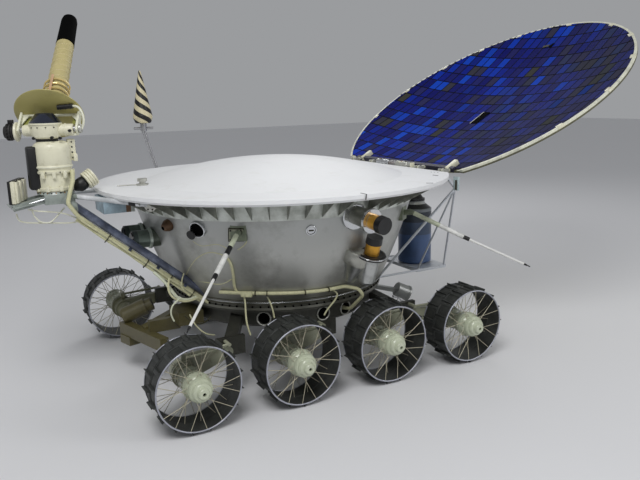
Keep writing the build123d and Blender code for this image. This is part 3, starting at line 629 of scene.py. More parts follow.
def rib_finish():
    """Silver skirt with darker ribs: what stands further out than the skirt's leaning face is a rib."""
    made = Finish("skirt_and_ribs")
    x, y, z = made.axes(made.place)
    aside = made.maths("SUBTRACT", x, HULL_AHEAD * MM)
    reach = made.maths("SQRT", made.maths("MULTIPLY_ADD", aside, aside, made.maths("POWER", y, 2.0)))
    clear = made.maths("MULTIPLY_ADD", z, -SKIRT_LEAN, reach)
    rib = made.maths("GREATER_THAN", clear, SKIRT_EDGE)
    broad = made.noise(9.0, 6.0)
    skirt = made.ramp(broad, [(0.32, (160, 164, 156)), (0.52, (204, 208, 202)), (0.74, (226, 230, 226))])
    ribs = made.ramp(broad, [(0.3, (96, 98, 90)), (0.7, (156, 158, 148))])
    gloss = (made.noise(90.0, 3.0), 0.28, 0.46)
    return made.done(made.mixed(rib, skirt, ribs), gloss, (broad, 0.25, 0.003), 0.5)


def lid_place():
    """From the lid's own frame, x away from the hinge and z through the shut lid, to the shared frame."""
    return Matrix.Translation(spot(HINGE[0], 0, HINGE[1])) @ twist(LID_LIFT - 180, "Y")


def paint(node, finish):
    """Give a CAD node its finish."""
    dressed(nodes[node], finish)


def polar(radius, angle, z=0.0):
    """A point round the z axis, in millimetres and radians, as metres."""
    return bare(radius * math.cos(angle), radius * math.sin(angle), z)


def round_ways(count, first=0.0):
    """Even directions round a circle in radians; first is the share of a step where they start."""
    return [math.tau * (step + first) / count for step in range(count)]


# Wheels

# Turn of each wheel against the one ahead in radians, the drum's steps, its strands round and across
WHEEL_TURN = 0.19
DRUM_STEPS = 96
WEAVE_ROUND = 150
WEAVE_ACROSS = 11
HUB_ROWS = [(-75, 0), (-75, 59), (-58, 62), (-50, 58), (-20, 56), (-12, 60), (0, 61), (8, 59), (22, 65),
            (38, 70), (52, 71), (66, 70), (82, 65), (86, 60), (96, 62), (108, 61), (116, 57), (119, 49),
            (126, 50), (137, 48), (142, 43), (144, 31), (152, 30), (160, 28), (164, 24), (165, 9),
            (150, 8.5), (150, 0)]


def drum_sheet(radius, half, inner):
    """The woven tread as an open drum with its own unwrap for the weave."""
    steps = DRUM_STEPS
    rows = [half, 0, -half] if inner else [-half, 0, half]
    points, faces = [], []
    for y in rows:
        for angle in round_ways(steps):
            points.append((radius * math.sin(angle) * MM, y * MM, radius * math.cos(angle) * MM))
    for first in (0, steps):
        for step in range(steps):
            near, far = first + step, first + (step + 1) % steps
            faces.append((near, near + steps, far + steps, far))
    mesh = bpy.data.meshes.new("tread")
    mesh.from_pydata(points, [], faces)
    unwrap = mesh.uv_layers.new(name="weave")
    for face in mesh.polygons:
        last = face.index % steps == steps - 1
        for loop in face.loop_indices:
            vertex = mesh.loops[loop].vertex_index
            here = vertex % steps
            if here == 0 and last:
                here = steps
            row = vertex // steps
            unwrap.data[loop].uv = (here * WEAVE_ROUND / steps, (-row if inner else row) * WEAVE_ACROSS)
    piece = placed("tread", mesh)
    only(piece)
    bpy.ops.object.shade_smooth()
    return dressed(piece, TREAD)


def wheel_pattern():
    """One wheel about the origin, axle along Y, its outer face towards +Y."""
    along = Vector((0, 1, 0))
    parts = [drum_sheet(HOOP_R - 1, 98, False), drum_sheet(HOOP_R - 4, 98, True)]
    parts += [ring(bare(0, y, 0), along, (HOOP_R - 2) * MM, thick * MM, finish, 72, 8)
              for y, thick, finish in ((97, 4.2, HOOP), (0, 3.4, LUG), (-97, 4.2, HOOP))]
    for y in (88, 9, -9, -88):
        parts.append(ring(bare(0, y, 0), along, (HOOP_R + 1) * MM, 1.6 * MM, LUG, 64, 6))
    lug = joined([slab(bare(0, 49, LUG_TIP - 9.5), bare(3.2, 92, 17), LUG, edge=0.0008),
                  slab(bare(10, 49, HOOP_R + 1.8), bare(26, 94, 2.2), LUG, (0, 3, 0), 0.0005)])
    lugs = LUG_ROWS * 2
    for step in range(lugs):
        turn = Matrix.Rotation(math.tau * (step + 1) / lugs, 4, "Y")
        shift = Matrix.Translation(bare(0, -98 if step % 2 else 0, 0))
        parts.append(copy_of(lug, turn @ shift))
    bpy.data.objects.remove(lug)
    for hoop_y, hub_y, hub_r, lead in ((95, 84, 40, 10), (0, 6, 44, -9), (-95, -60, 44, 9)):
        for step in range(SPOKES):
            angle = math.tau * (step + 0.3) / SPOKES
            swing = math.radians(lead if step % 2 else -lead) * 1.6
            start = bare(hub_r * math.sin(angle + swing * 3), hub_y, hub_r * math.cos(angle + swing * 3))
            end = bare((HOOP_R - 4) * math.sin(angle), hoop_y, (HOOP_R - 4) * math.cos(angle))
            parts.append(bar(start, end, 0.0017, WIRE, 6))
    parts.append(turned(HUB_ROWS, HUB, way=along, steps=44))
    # Dark disc at the bottom of the hub's bore: painted shade.
    parts.append(bar(bare(0, 149, 0), bare(0, 151.5, 0), 0.0086, HOLE, 20))
    parts += [ring(bare(0, y, 0), along, radius * MM, 1.7 * MM, HUB, 44, 6)
              for y, radius in ((-66, 61), (-2, 61.5), (46, 71.5), (62, 71), (90, 62), (112, 60), (131, 50))]
    return joined(parts)


def wheels():
    """Eight copies of the wheel, each turned a little further than the one ahead of it."""
    pattern = wheel_pattern()
    for side, sign in (("left", 1), ("right", -1)):
        for number, x in enumerate(WHEEL_X):
            mirror = Matrix.Diagonal((1, sign, 1, 1))
            turn = Matrix.Rotation(WHEEL_TURN * number, 4, "Y")
            place = Matrix.Translation(spot(x, sign * WHEEL_Y, AXLE_Z))
            wheel = copy_of(pattern, place @ mirror @ turn)
            label = f"wheel_{side}_{number + 1}"
            fitted([wheel], f"{label}_laced", f"{label}_body", [label])
    bpy.data.objects.remove(pattern)


wheels()


# Finishes of the CAD nodes

# The right side's swing arms take the housing enamel with painted shade.
for side, sign, housing in (("left", 1, HOUSING), ("right", -1, SHADED_HOUSING)):
    for number in range(1, 5):
        paint(f"swing_arm_{side}_{number}", housing)
    whip_finish(f"whip_rear_{side}", False, sign)
    camera_finishes(side, sign)
whip_finish("whip_front_left", True, 1)
for node, finish in (
        ("hull_tub", hull_finish()), ("top_plate", WHITE), ("rim_gussets", rib_finish()),
        ("chassis", CHASSIS), ("hull_fittings", ALLOY), ("lid_cells", CELLS), ("hinge_brackets", ALLOY),
        ("lid_drive", ALLOY), ("plate_fitting", ALLOY), ("cone_mast", STEEL), ("cone_aerial", CONE),
        ("aerial_plug", BLACK), ("aerial_box", CREAM), ("aerial_drum", CREAM), ("aerial_yoke", CREAM),
        ("aerial_helix", OLIVE_DISC), ("front_instrument", OLIVE), ("penetrometer", STEEL),
        ("heat_frame", STRUT), ("rear_can", BARREL_LIGHT), ("meter_wheel", STEEL), ("meter_arm", ALLOY),
        ("meter_bracket", ALLOY), ("harness", CABLE)):
    paint(node, finish)
through_lid = lid_place().to_3x3() @ Vector((0, 0, 1))
# The lid panel's dark band is a painted shadow line under its rim.
paint_bands("lid_panel", spot(HINGE[0], 0, HINGE[1]), through_lid, LID_RIM_SHADE_BANDS, 0.4)
paint_bands("reflector_box", spot(*REFLECTOR_FRONT), (-1, 0, 0), REFLECTOR_BANDS, 0.4)
paint_bands("heat_source", spot(*HEAT_FOOT), (0, 0, 1), HEAT_BANDS, 0.3, 8.0)


# Steerable aerial

def turret(lean=0.0):
    """From the aerial's own frame, x along its elevation axis, to the shared frame."""
    return Matrix.Translation(spot(MAST_X, 0, PIVOT_Z)) @ twist(AERIAL_YAW, "Z") @ twist(lean, "X")


def coil(low, high, turns, thick, finish, start=0.0, steps=20):
    """A wire wound round the z axis: low and high are radius and height."""
    points = []
    count = int(turns * steps)
    for step in range(count + 1):
        share = step / count
        angle = start + math.tau * step / steps
        radius = low[0] + (high[0] - low[0]) * share
        points.append(polar(radius, angle, low[1] + (high[1] - low[1]) * share))
    return wire(points, thick * MM, finish)


def round_row(count, radius, z, size, finish):
    """Small blocks set evenly round the z axis."""
    return [slab(polar(radius, way, z), bare(*size), finish, (0, 0, math.degrees(way)), 0.001)
            for way in round_ways(count, 0.5)]


TUBE_END = [(672, 0), (672, 50.5), (676, 51.5), (680, 50.5), (886, 46), (910, 41), (925, 28), (931, 0)]


def aerial_head():
    """Round plate on its frame, with the wound tube and its black end."""
    parts = [turned([(108, 0), (108, 172), (109.5, 176.5), (112, 178), (114, 176), (114, 0)], OLIVE_DISC,
                    bare(PLATE_SHIFT, 0, 0), steps=72),
             turned([(114, 0), (114, 62), (126, 62), (130, 57), (130, 0)], CREAM),
             turned([(128, 0), (128, 56), (300, 54), (674, 49), (674, 0)], TAN),
             turned(TUBE_END, HOLE)]
    parts.append(coil((70, 136), (65, 345), 5.8, 5.4, COIL, 1.2))
    parts.append(coil((54.2, 350), (49.3, 668), 7.0, 2.0, TAN_LINE, 0.4))
    strap = 84
    parts.append(slab(polar(74, math.radians(strap), 238), bare(3, 14, 212), STRAP, (0, 0, strap), 0.001))
    parts.append(slab(bare(3, 0, 103.5), bare(314, 12, 9), PALE, edge=0.0012))
    for x in (152, -143):
        parts.append(slab(bare(x, 0, 41), bare(12, 48, 134), PALE, edge=0.0015))
        parts.append(ring(bare(x, 0, 0), (1, 0, 0), 19 * MM, 5 * MM, CREAM, 32, 8))
    parts.append(sheet_of([bare(147, 0, 104), bare(118, 0, 99), bare(147, 0, 34)], 0.006, PALE))
    parts.append(sheet_of([bare(-138, 0, 104), bare(-100, 0, 99), bare(-138, 0, 50)], 0.006, PALE))
    parts += [slab(bare((low + high) / 2, -14, 76), bare(high - low, 3, 56), FRAME_OLIVE, edge=0.0008)
              for low, high in ((110, 146), (-137, -108))]
    near, far = bare(-45, 64, 95), bare(-126, 72, 95)
    parts.append(bar(near, far, 0.013, BLACK, 20))
    parts += [ring(near.lerp(far, share), far - near, 0.0128, 0.0022, BLACK, 24, 6)
              for share in (0.18, 0.5, 0.82)]
    for angle in range(20, 380, 45):
        place = bare(PLATE_SHIFT, 0, 0) + polar(160, math.radians(angle))
        parts.append(turned([(112, 5.5), (117, 5), (118, 0)], SCREW, place, steps=8))
    place = turret(AERIAL_LEAN)
    fitted(parts, "aerial_head_dressed", "aerial_head", ["aerial_helix"], place)


CUP = [(-47, 0), (-47, 58), (-44, 64), (-38, 72), (-20, 76), (0, 79), (24, 79), (26, 84), (32, 84),
       (34, 82), (34, 0)]
AXLE_SLEEVE = [(-124, 0), (-124, 26), (-120, 31), (-88, 31), (-86, 34), (-80, 34), (-78, 31), (78, 31),
               (80, 34), (86, 34), (88, 31), (120, 31), (132, 27), (132, 0)]
SIDE_DISC = [(173, 0), (173, 39), (178, 42), (181, 38), (187, 38), (190, 44), (196, 45), (199, 40),
             (204, 40), (207, 45), (213, 44), (216, 34), (226, 31), (226, 0)]


def aerial_fork():
    """Cup with its black cone, the elevation axle and the side discs."""
    axle, cup, disc = (1, 0, 0), bare(CUP_SHIFT, 0, 0), bare(0, 0, -9)
    parts = [turned(CUP, CREAM, cup, steps=56),
             turned([(34, 0), (34, 81), (37, 82), (82, 45), (85, 41), (86, 36), (86, 0)], CONE_BLACK, cup,
                    steps=56),
             turned([(-61, 0), (-61, 55), (-46, 57), (-46, 0)], BLACK, cup),
             turned(AXLE_SLEEVE, CREAM, bare(0, 0, -4), axle),
             bar(bare(-162, 0, 0), bare(165, 0, 0), 0.015, STEEL, 24),
             turned([(157, 0), (157, 44), (160, 50), (167, 51), (172, 47), (173, 0)], CREAM, disc, axle),
             turned(SIDE_DISC, RUBBER, disc, axle, 48)]
    for way in round_ways(16):
        place = disc + bare(200, 42 * math.cos(way), 42 * math.sin(way))
        parts.append(slab(place, bare(22, 6, 4), RUBBER, (math.degrees(way), 0, 0), 0.0008))
    parts.append(slab(bare(192, 0, 44), bare(26, 22, 20), BLACK, edge=0.002))
    parts.append(turned([(-166, 0), (-166, 20), (-162, 24), (-152, 24), (-150, 20), (-150, 0)], ALLOY,
                        way=axle))
    parts += [bar(bare(x, y, z), bare(x, y + 16, z), 0.008, BLACK, 14)
              for x, y, z in ((-112, 30, -8), (-66, 52, -44), (-30, 71, -40), (70, 40, -42))]
    for way in round_ways(12, 0.5):
        parts.append(bar(cup + polar(79, way, 12), cup + polar(82, way, 12), 0.0035, SCREW, 8))
    fitted(parts, "aerial_fork", "aerial_turret", ["aerial_yoke"], turret())


def fork_cable():
    """White cable that loops from the plate's plug down to the cup."""
    route = [(-126, -20, 117), (-147, -12, 117), (-166, -4, 101), (-178, 0, 70), (-180, 0, 33), (-167, 0, 2),
             (-149, 0, -23), (-127, 0, -33), (-108, 6, -30)]
    cable = wire([bare(*point) for point in route], 0.0062, PALE, fine=2)
    fitted([cable], "aerial_loop", "aerial_turret", place=turret())


DRUM_CAN = [(0, 0), (0, 84), (5, 92), (9, 94), (22, 94), (24, 91), (25, 88), (95, 88), (97, 95), (100, 97),
            (110, 97), (112, 92), (121, 92), (123, 96), (126, 98), (134, 98), (137, 96), (139, 94),
            (141, 95), (226, 95), (238, 93), (248, 87), (256, 78), (262, 66), (262, 0)]


def drum_dressed():
    """Azimuth drum: two-part can, clamp tabs, black box in front and bracket behind."""
    parts = [turned(DRUM_CAN, CREAM, steps=64)]
    parts += round_row(11, 99, 92, (12, 18, 36), CREAM)
    parts += round_row(9, 95, 18, (12, 18, 30), CREAM)
    parts += round_row(9, 103, 104, (3, 6, 8), SCREW)
    parts.append(ring(bare(0, 0, 130), (0, 0, 1), 0.0975, 0.0025, PALE, 64, 8))
    parts.append(slab(bare(98, 0, 126), bare(58, 88, 224), BLACK, edge=0.010))
    parts.append(slab(bare(116, -8, 60), bare(22, 60, 70), BLACK, edge=0.004))
    parts.append(slab(bare(-99, 0, 212), bare(38, 48, 112), CREAM, edge=0.003))
    parts.append(slab(bare(-112, 8, 172), bare(20, 66, 40), CREAM, edge=0.003))
    for z in (172, 200, 228, 254):
        for y in (-16, 16):
            parts.append(bar(bare(-117, y, z), bare(-121, y, z), 0.0045, CHROME, 8))
            parts.append(bar(bare(-99, 24, z), bare(-99, 27, z), 0.0045, CHROME, 8))
    parts += [bar(polar(90, way, -11), polar(90, way, -1), 0.0045, BLACK if pin % 2 else BRASS, 8)
              for pin, way in enumerate(round_ways(26))]
    place = Matrix.Translation(spot(MAST_X, 0, DRUM_BASE_Z))
    fitted(parts, "aerial_drum_dressed", "rover", ["aerial_drum"], place)


def feed_box_dressed():
    """Black slab with three broad cream ribs behind it."""
    parts = [slab(bare(11, 0, 0), bare(14, 196, 120), BLACK, edge=0.003),
             slab(bare(-4, 0, 0), bare(24, 188, 114), CREAM, edge=0.004)]
    for y in (-63, 0, 63):
        parts.append(slab(bare(-19, y, 0), bare(17, 46, 110), CREAM, edge=0.006))
        parts.append(slab(bare(-12, y, 58), bare(22, 18, 8), SCREW, edge=0.001))
    place = Matrix.Translation(spot(MAST_X + 190, 6, DRUM_BASE_Z + 14)) @ twist(-21, "Z")
    fitted(parts, "feed_box_dressed", "rover", ["aerial_box"], place)


PLUG_BODY = [(-24, 0), (-24, 14), (-10, 24), (2, 34), (14, 37), (34, 37), (46, 33), (54, 28), (60, 0)]


def plug_dressed():
    """Black plug with a ribbed cream collar of wound cable."""
    parts = [turned(PLUG_BODY, BLACK),
             turned([(48, 0), (48, 40), (100, 40), (104, 30), (104, 0)], PALE)]
    parts += [ring(bare(0, 0, along), (0, 0, 1), 0.043, 0.0072, CREAM, 40, 8) for along in (54, 68, 82, 96)]
    place = Matrix.Translation(spot(*PLUG_AT)) @ facing(PLUG_WAY).to_matrix().to_4x4()
    fitted(parts, "plug_dressed", "rover", ["aerial_plug"], place)


# The upper rods lie above a line with the legs' slope, and the base ahead of a place
LEG_SLOPE = 0.850
RODS_ABOVE = spot(0, 0, 1068.5).z - LEG_SLOPE * spot(1150, 0, 0).x
BASE_FRONT = spot(1205, 0, 0).x


def truss_finish():
    """Blue-grey legs, bright upper rods, and a grey base with its shelf."""
    made = Finish("truss_paints")
    x, _, z = made.axes(made.place)
    above_legs = made.maths("MULTIPLY_ADD", x, -LEG_SLOPE, z)
    rods = made.maths("GREATER_THAN", above_legs, RODS_ABOVE)
    base = made.maths("GREATER_THAN", x, BASE_FRONT)
    broad = made.noise(12.0, 6.0)
    legs = made.ramp(broad, [(0.30, (34, 38, 50)), (0.50, (68, 75, 94)), (0.75, (120, 128, 148))])
    bright = made.ramp(broad, [(0.30, (170, 174, 176)), (0.70, (220, 222, 224))])
    grey = made.ramp(broad, [(0.30, (104, 112, 106)), (0.70, (168, 176, 170))])
    tone = made.mixed(base, made.mixed(rods, legs, bright), grey)
    relief = (made.noise(160.0, 3.0), 0.06, RELIEF)
    return made.done(tone, (broad, 0.24, 0.40), relief, coat=0.4)


aerial_head()
aerial_fork()
fork_cable()
drum_dressed()
feed_box_dressed()
plug_dressed()
paint("aerial_truss", truss_finish())


# Lid and its hinge

def lid_dressed():
    """Sight slot, rim clips, notched edge, hinge blocks and the dark strip along the hinge."""
    middle = LID_MID_X - HINGE[0]
    # The sight slot's dark slab is painted shade in the slot.
    parts = [slab(bare(783, 20, 124.5), bare(149, 62, 3), HOLE),
             slab(bare(783, -13.5, 124), bare(152, 5, 3), PALE),
             slab(bare(48, 0, 19.6), bare(23.4, 1121, 31.8), STRIP),
             slab(bare(1694, -30, 55), bare(46, 30, 4), HOLE, (0, 10, 30)),
             slab(bare(1686, -76, 54), bare(22, 52, 4), TIE, (0, 10, -20))]
    parts += [slab(bare(80, y, 17), bare(92, 34, 33), CREAM, edge=0.003) for y in (505, -482)]
    for angles, radius, z, size, finish, edge in (
            (CLIP_ANGLES, CLIP_R, 11.7, (34, 46, 15), CREAM, 0.002),
            (range(96, 180, 3), NOTCH_R, 4.4, (9, 18, 2), TIE, 0.0)):
        for angle in angles:
            place = bare(middle, 0, 0) + polar(radius, math.radians(90 - angle), z)
            parts.append(slab(place, bare(*size), finish, (0, 0, 90 - angle), edge))
    fitted(parts, "lid_trim", "solar_lid", place=lid_place())


MOTOR = [(-214, 0), (-214, 15), (-206, 23), (-152, 24), (-150, 25), (-143, 25), (-141, 21), (-102, 21),
         (-100, 25), (-92, 25), (-90, 20), (-60, 20), (-60, 0)]
GEARBOX = [(20, 0), (20, 21), (28, 25), (36, 25), (38, 21), (92, 21), (94, 25), (102, 25), (104, 21),
           (142, 21), (148, 13), (178, 12), (178, 0)]


def drive_dressed():
    """Motor, gearbox and bearings on the hinge line."""
    way = (0, 1, 0)
    low = spot(HINGE[0], 0, HINGE[1] + 6)
    parts = [turned(MOTOR, CHROME, low, way, 32),
             turned([(-60, 0), (-60, 15), (20, 15), (20, 0)], BRASS, low, way, 24),
             turned(GEARBOX, ALLOY, low, way, 32)]
    parts += [ring(low + bare(0, -52 + 11 * step, 0), way, 0.0175, 0.0028, STEEL, 24, 6) for step in range(7)]
    for y, finish in ((-182, BRASS), (-120, CHROME), (-76, BLACK), (52, CHROME), (76, BRASS), (120, BLACK),
                      (160, CHROME)):
        parts.append(bar(low + bare(0, y, 14), low + bare(0, y, 24), 0.0065, finish, 12))
    parts += [slab(low + bare(0, y, 2), bare(34, 9, 38), CREAM, edge=0.002) for y in (-196, 66, 190)]
    fitted(parts, "lid_drive_dressed", "rover", ["lid_drive"])


def plate_trim():
    """Slots and a hook on the top plate, and the bracket below the lid's corner."""
    # The slots are thin dark slabs: painted shade in them.
    parts = [slab(spot(-740, 668, RIM_Z + 0.4), bare(9, 40, 1.2), HOLE, (0, 0, 10)),
             slab(spot(-494, 928, RIM_Z + 0.4), bare(9, 38, 1.2), HOLE, (0, 0, 52)),
             slab(spot(-935, 628, 1068), bare(12, 46, 84), PALE_BLUE, edge=0.002),
             slab(spot(-928, 634, 1060), bare(5, 14, 60), TIE)]
    parts += [slab(spot(-826 - 14 * step, 520 + 14 * step, RIM_Z + 0.4), bare(7, 5, 1.2), HOLE)
              for step in range(3)]
    parts.append(slab(spot(5, 1045, RIM_Z + 0.9), bare(5.5, 54, 1.6), BLACK))
    route = [(8, 1071, 1136), (10, 1077, 1135), (13, 1079, 1126), (15, 1079, 1110)]
    parts.append(wire(spots(route), 0.0026, BLACK))
    fitted(parts, "plate_trim", "rover")


# Hull trim

def lower_wall(z):
    """Radius of the hull's lower wall at a height, in millimetres."""
    share = (z - HULL_FOOT[1]) / (HULL_MID[1] - HULL_FOOT[1])
    return HULL_FOOT[0] + share * (HULL_MID[0] - HULL_FOOT[0]) + WALL_BULGE * share * (1 - share)


def on_hull(way, clear, z, wall_z=None):
    """A point that stands clear of the lower wall, its direction in radians."""
    reach = lower_wall(z if wall_z is None else wall_z) + clear
    return spot(reach * math.cos(way), reach * math.sin(way), z)


def upper_wall(angle, z):
    """A point of the hull's upper wall and its outward direction."""
    lean = (HULL_BELT[0] - HULL_MID[0]) / (HULL_BELT[1] - HULL_MID[1])
    radius = HULL_MID[0] + (z - HULL_MID[1]) * lean
    ahead, aside = math.cos(math.radians(angle)), math.sin(math.radians(angle))
    return spot(radius * ahead, radius * aside, z), Vector((ahead, aside, -lean)).normalized()


def hull_bands():
    """Seams, the bolted flange and its screws round the hull's foot."""
    parts = []
    for z, thick, finish in ((520, 1.8, TIE), (506, 2.4, CHROME), (493, 2.0, TIE), (463, 4.5, ALLOY)):
        parts.append(ring(spot(0, 0, z), (0, 0, 1), (lower_wall(z) + 1) * MM, thick * MM, finish, 144, 6))
    for way in round_ways(90):
        parts.append(bar(on_hull(way, 0, 480), on_hull(way, 6, 478, 480), 0.0055, HOLE, 8))
    parts.append(ring(spot(0, 0, 1000), (0, 0, 1), 0.8525, 0.0018, TIE, 144, 6))
    fitted(parts, "hull_bands", "rover")


def flank_ports():
    """Round openings on the left flank: an open one, a small cover and a brown cone."""
    place, out = upper_wall(*OPEN_PORT)
    # The open port's dark disc is painted shade inside it.
    parts = [turned([(-6, 47), (14, 47), (16, 45), (16, 41), (13, 38), (3, 38)], CHROME, place, out),
             turned([(3, 39), (4, 0)], HOLE, place, out),
             turned([(8, 0), (8, 25), (13, 26), (14, 0)], BLACK, place + bare(28, -24, -30), out)]
    place, out = upper_wall(*SMALL_COVER)
    parts += [turned([(-6, 30), (6, 30), (8, 28), (8, 23), (5, 21), (5, 0)], CHROME, place, out),
              ring(place + out * 0.006, out, 0.0225, 0.0016, TIE, 32, 6),
              slab(place + out * 0.007, bare(26, 3, 7), TIE, (20, 0, -12))]
    place, out = upper_wall(*BROWN_CONE)
    # The dark disc in the cone's mouth is painted shade.
    parts += [turned([(-6, 34), (16, 33), (40, 20), (44, 14), (44, 0)], COPPER, place, out),
              turned([(43, 0), (43, 11), (46, 10), (46, 0)], HOLE, place, out)]
    fitted(parts, "flank_ports", "rover", ["hull_fittings"])


def outwards(points, by):
    """Points of the drawing frame moved away from the hull's axis, in metres of the shared frame."""
    moved_points = []
    for x, y, z in points:
        reach = math.hypot(x, y)
        moved_points.append(spot(x * (1 + by / reach), y * (1 + by / reach), z))
    return moved_points


HULL_WIRES = [
    (8.0, CABLE, [(545, 555, 786), (530, 559, 763), (517, 547, 715), (506, 530, 669), (494, 502, 605),
                  (480, 500, 580)]),
    (3.0, CABLE, [(678, 221, 624), (677, 352, 741), (637, 460, 810), (596, 516, 818), (567, 541, 803)]),
    (3.0, CABLE, [(666, 240, 612), (614, 363, 624), (575, 415, 615), (537, 467, 622), (514, 516, 658)]),
    (2.6, CABLE, [(685, 426, 873), (659, 448, 844), (623, 505, 857), (585, 554, 870), (555, 573, 845)]),
    (3.0, CABLE, [(476, 658, 888), (481, 642, 859), (509, 611, 838)]),
    (5.0, CABLE, [(453, 520, 577), (451, 540, 540), (460, 560, 468), (468, 590, 408), (453, 600, 355)]),
    (4.6, CABLE, [(364, 560, 574), (345, 575, 560), (332, 590, 530), (318, 600, 480), (310, 600, 427)]),
    (4.6, CABLE, [(9, 674, 562), (-30, 684, 545), (-42, 686, 520), (-21, 684, 488), (30, 680, 440),
                  (44, 680, 415)])]


def hull_wires():
    """Thin wires and hoses on the hull's wall and the drops from the cable belt."""
    parts = [wire(outwards(route, radius + 1), radius * MM, finish) for radius, finish, route in HULL_WIRES]
    for angle, z in BELT_TIES:
        way = math.radians(angle)
        along = (-math.sin(way), math.cos(way), 0)
        parts.append(ring(on_hull(way, 15.5, z), along, 0.0125, 0.0032, TIE, 24, 6))
    place = on_hull(math.radians(BELT_BOX), 20, 572, 574)
    parts.append(slab(place, bare(26, 62, 30), CABLE, (0, 0, BELT_BOX), 0.004))
    fitted(parts, "hull_wires", "rover")


SHELF_LOOPS = [
    [(1499, 40, 1050), (1499, 40, 1028), (1478, 40, 999), (1342, 40, 984), (1190, 40, 967), (1150, 60, 1000)],
    [(1444, 60, 1070), (1400, 60, 1056), (1362, 60, 1051), (1264, 60, 1033), (1191, 60, 987),
     (1150, 70, 980)],
    [(1425, 50, 1070), (1420, 50, 1040), (1409, 50, 1020), (1391, 50, 996), (1358, 50, 987), (1332, 50, 990),
     (1288, 50, 1034), (1262, 50, 1060)]]


def truss_wires():
    """Cables and ties beside the truss leg, and the loops under the shelf."""
    top, foot = [Vector(point) for point in LEG_ENDS]
    way = (foot - top).normalized()
    below = (way * way.z - Vector((0, 0, 1))).normalized()
    outer = way.cross(Vector((0, 0, 1))).normalized()
    parts = []
    for aside, down, radius, finish in ((14, 54, 7.0, CABLE), (-15, 50, 7.5, HOSE), (25, 38, 6.0, CABLE)):
        route = []
        for step in range(11):
            along = 110 + 80 * step
            wave = 3.0 * math.sin(step * 1.9 + down)
            route.append(spot(*(top + way * along + outer * (aside + wave) + below * (down + wave * 0.6))))
        parts.append(wire(route, radius * MM, finish))
    parts += [ring(spot(*(top + way * along + below * 44)), way, 0.0285, 0.0032, TIE, 28, 6)
              for along in (300, 545, 700, 850)]
    for route in SHELF_LOOPS:
        parts.append(wire(spots(route), 0.0042, PALE))
    # Chrome bar along the shelf's front edge: a painted highlight of that edge.
    parts.append(bar(spot(1513, 75, 1082), spot(1318, 75, 1126), 0.0055, CHROME))
    fitted(parts, "truss_wires", "rover")


def whip_plate():
    """Dark frame, pale plate and four screws at the foot of the left front whip aerial."""
    corners = [Vector(point) for point in WHIP_FOOT]
    middle = sum(corners, Vector()) / 4
    out = (corners[1] - corners[0]).cross(corners[2] - corners[1]).normalized()
    if out.dot(Vector((middle.x, middle.y, 0))) < 0:
        out = -out
    parts = []
    for size, rise, finish in ((1.16, 6, TIE), (0.98, 9, HOUSING)):
        raised_corners = [spot(*(middle + (point - middle) * size + out * rise)) for point in corners]
        parts.append(sheet_of(raised_corners, 0.003, finish))
    for point in corners:
        foot = middle + (point - middle) * 0.78 + out * 10
        parts.append(bar(spot(*foot), spot(*(foot + out * 4)), 0.0048, BLACK, 10))
    fitted(parts, "whip_plate", "rover")


def camera_shells():
    """Wall flange and collar of the sideways cameras, and the upright cameras' fairing."""
    start, way = spot(*SIDE_CAMERA[0]), Vector(SIDE_CAMERA[1]) - Vector(SIDE_CAMERA[0])
    parts = [turned([(100, 62), (100, 80), (106, 84), (114, 84), (118, 80), (119, 50)], CHROME, start, way),
             turned([(232, 50), (232, 63), (238, 66), (250, 64), (251, 41)], CHROME, start, way)]
    parts.append(turned([(120, 90), (130, 95), (186, 99), (198, 92), (206, 60), (206, 0)], FAIRING,
                        spot(*FAIRING_FOOT), FAIRING_WAY, 56))
    up = Vector(UPRIGHT_CAMERA[1]) - Vector(UPRIGHT_CAMERA[0])
    mouth = spot(*UPRIGHT_CAMERA[0]) + up.normalized() * 0.2165
    parts.append(ring(mouth, up, 0.066, 0.0035, BLACK, 48, 8))
    parts.append(ring(mouth, up, 0.083, 0.0030, CHROME, 48, 8))
    left = joined(parts)
    right = copy_of(left, Matrix.Diagonal((1, -1, 1, 1)))
    for trim, side in ((left, "left"), (right, "right")):
        fitted([trim], f"camera_shells_{side}", "rover")


def ring_ports():
    """Painted shade inside the lower ring's round ports, as dark discs, and the ports' bright edge."""
    parts = []
    middle = spot(0, 0, RING_PORT_Z)
    for angle in [sign * angle for sign in (-1, 1) for angle in RING_PORTS]:
        out = Vector((math.cos(math.radians(angle)), math.sin(math.radians(angle)), 0))
        parts.append(turned([(573, 36), (573.5, 0)], HOLE, middle, out, 32))
        parts.append(ring(middle + out * 0.601, out, 0.0385, 0.0042, ALLOY, 40, 8))
    fitted(parts, "ring_ports", "rover")


FRONT_HOSES = [
    (9.0, HOSE, [(863, 250, 690), (823, 290, 645), (793, 320, 590), (763, 330, 540), (700, 330, 520),
                 (655, 318, 530)]),
    (6.0, CABLE, [(803, 330, 662), (822, 345, 618), (808, 360, 568), (764, 360, 534), (700, 350, 520),
                  (650, 330, 528)]),
    (4.0, CABLE, [(700, 260, 660), (730, 290, 614), (720, 300, 571), (690, 310, 540)]),
    (4.5, HOSE, [(760, 380, 560), (800, 398, 545), (824, 400, 517), (828, 400, 473), (812, 400, 440)]),
    (4.0, CABLE, [(740, 450, 480), (722, 450, 430), (688, 450, 382), (646, 450, 345), (600, 430, 330)]),
    (3.5, TIE, [(600, 380, 420), (650, 420, 400), (720, 440, 420), (760, 430, 470)])]


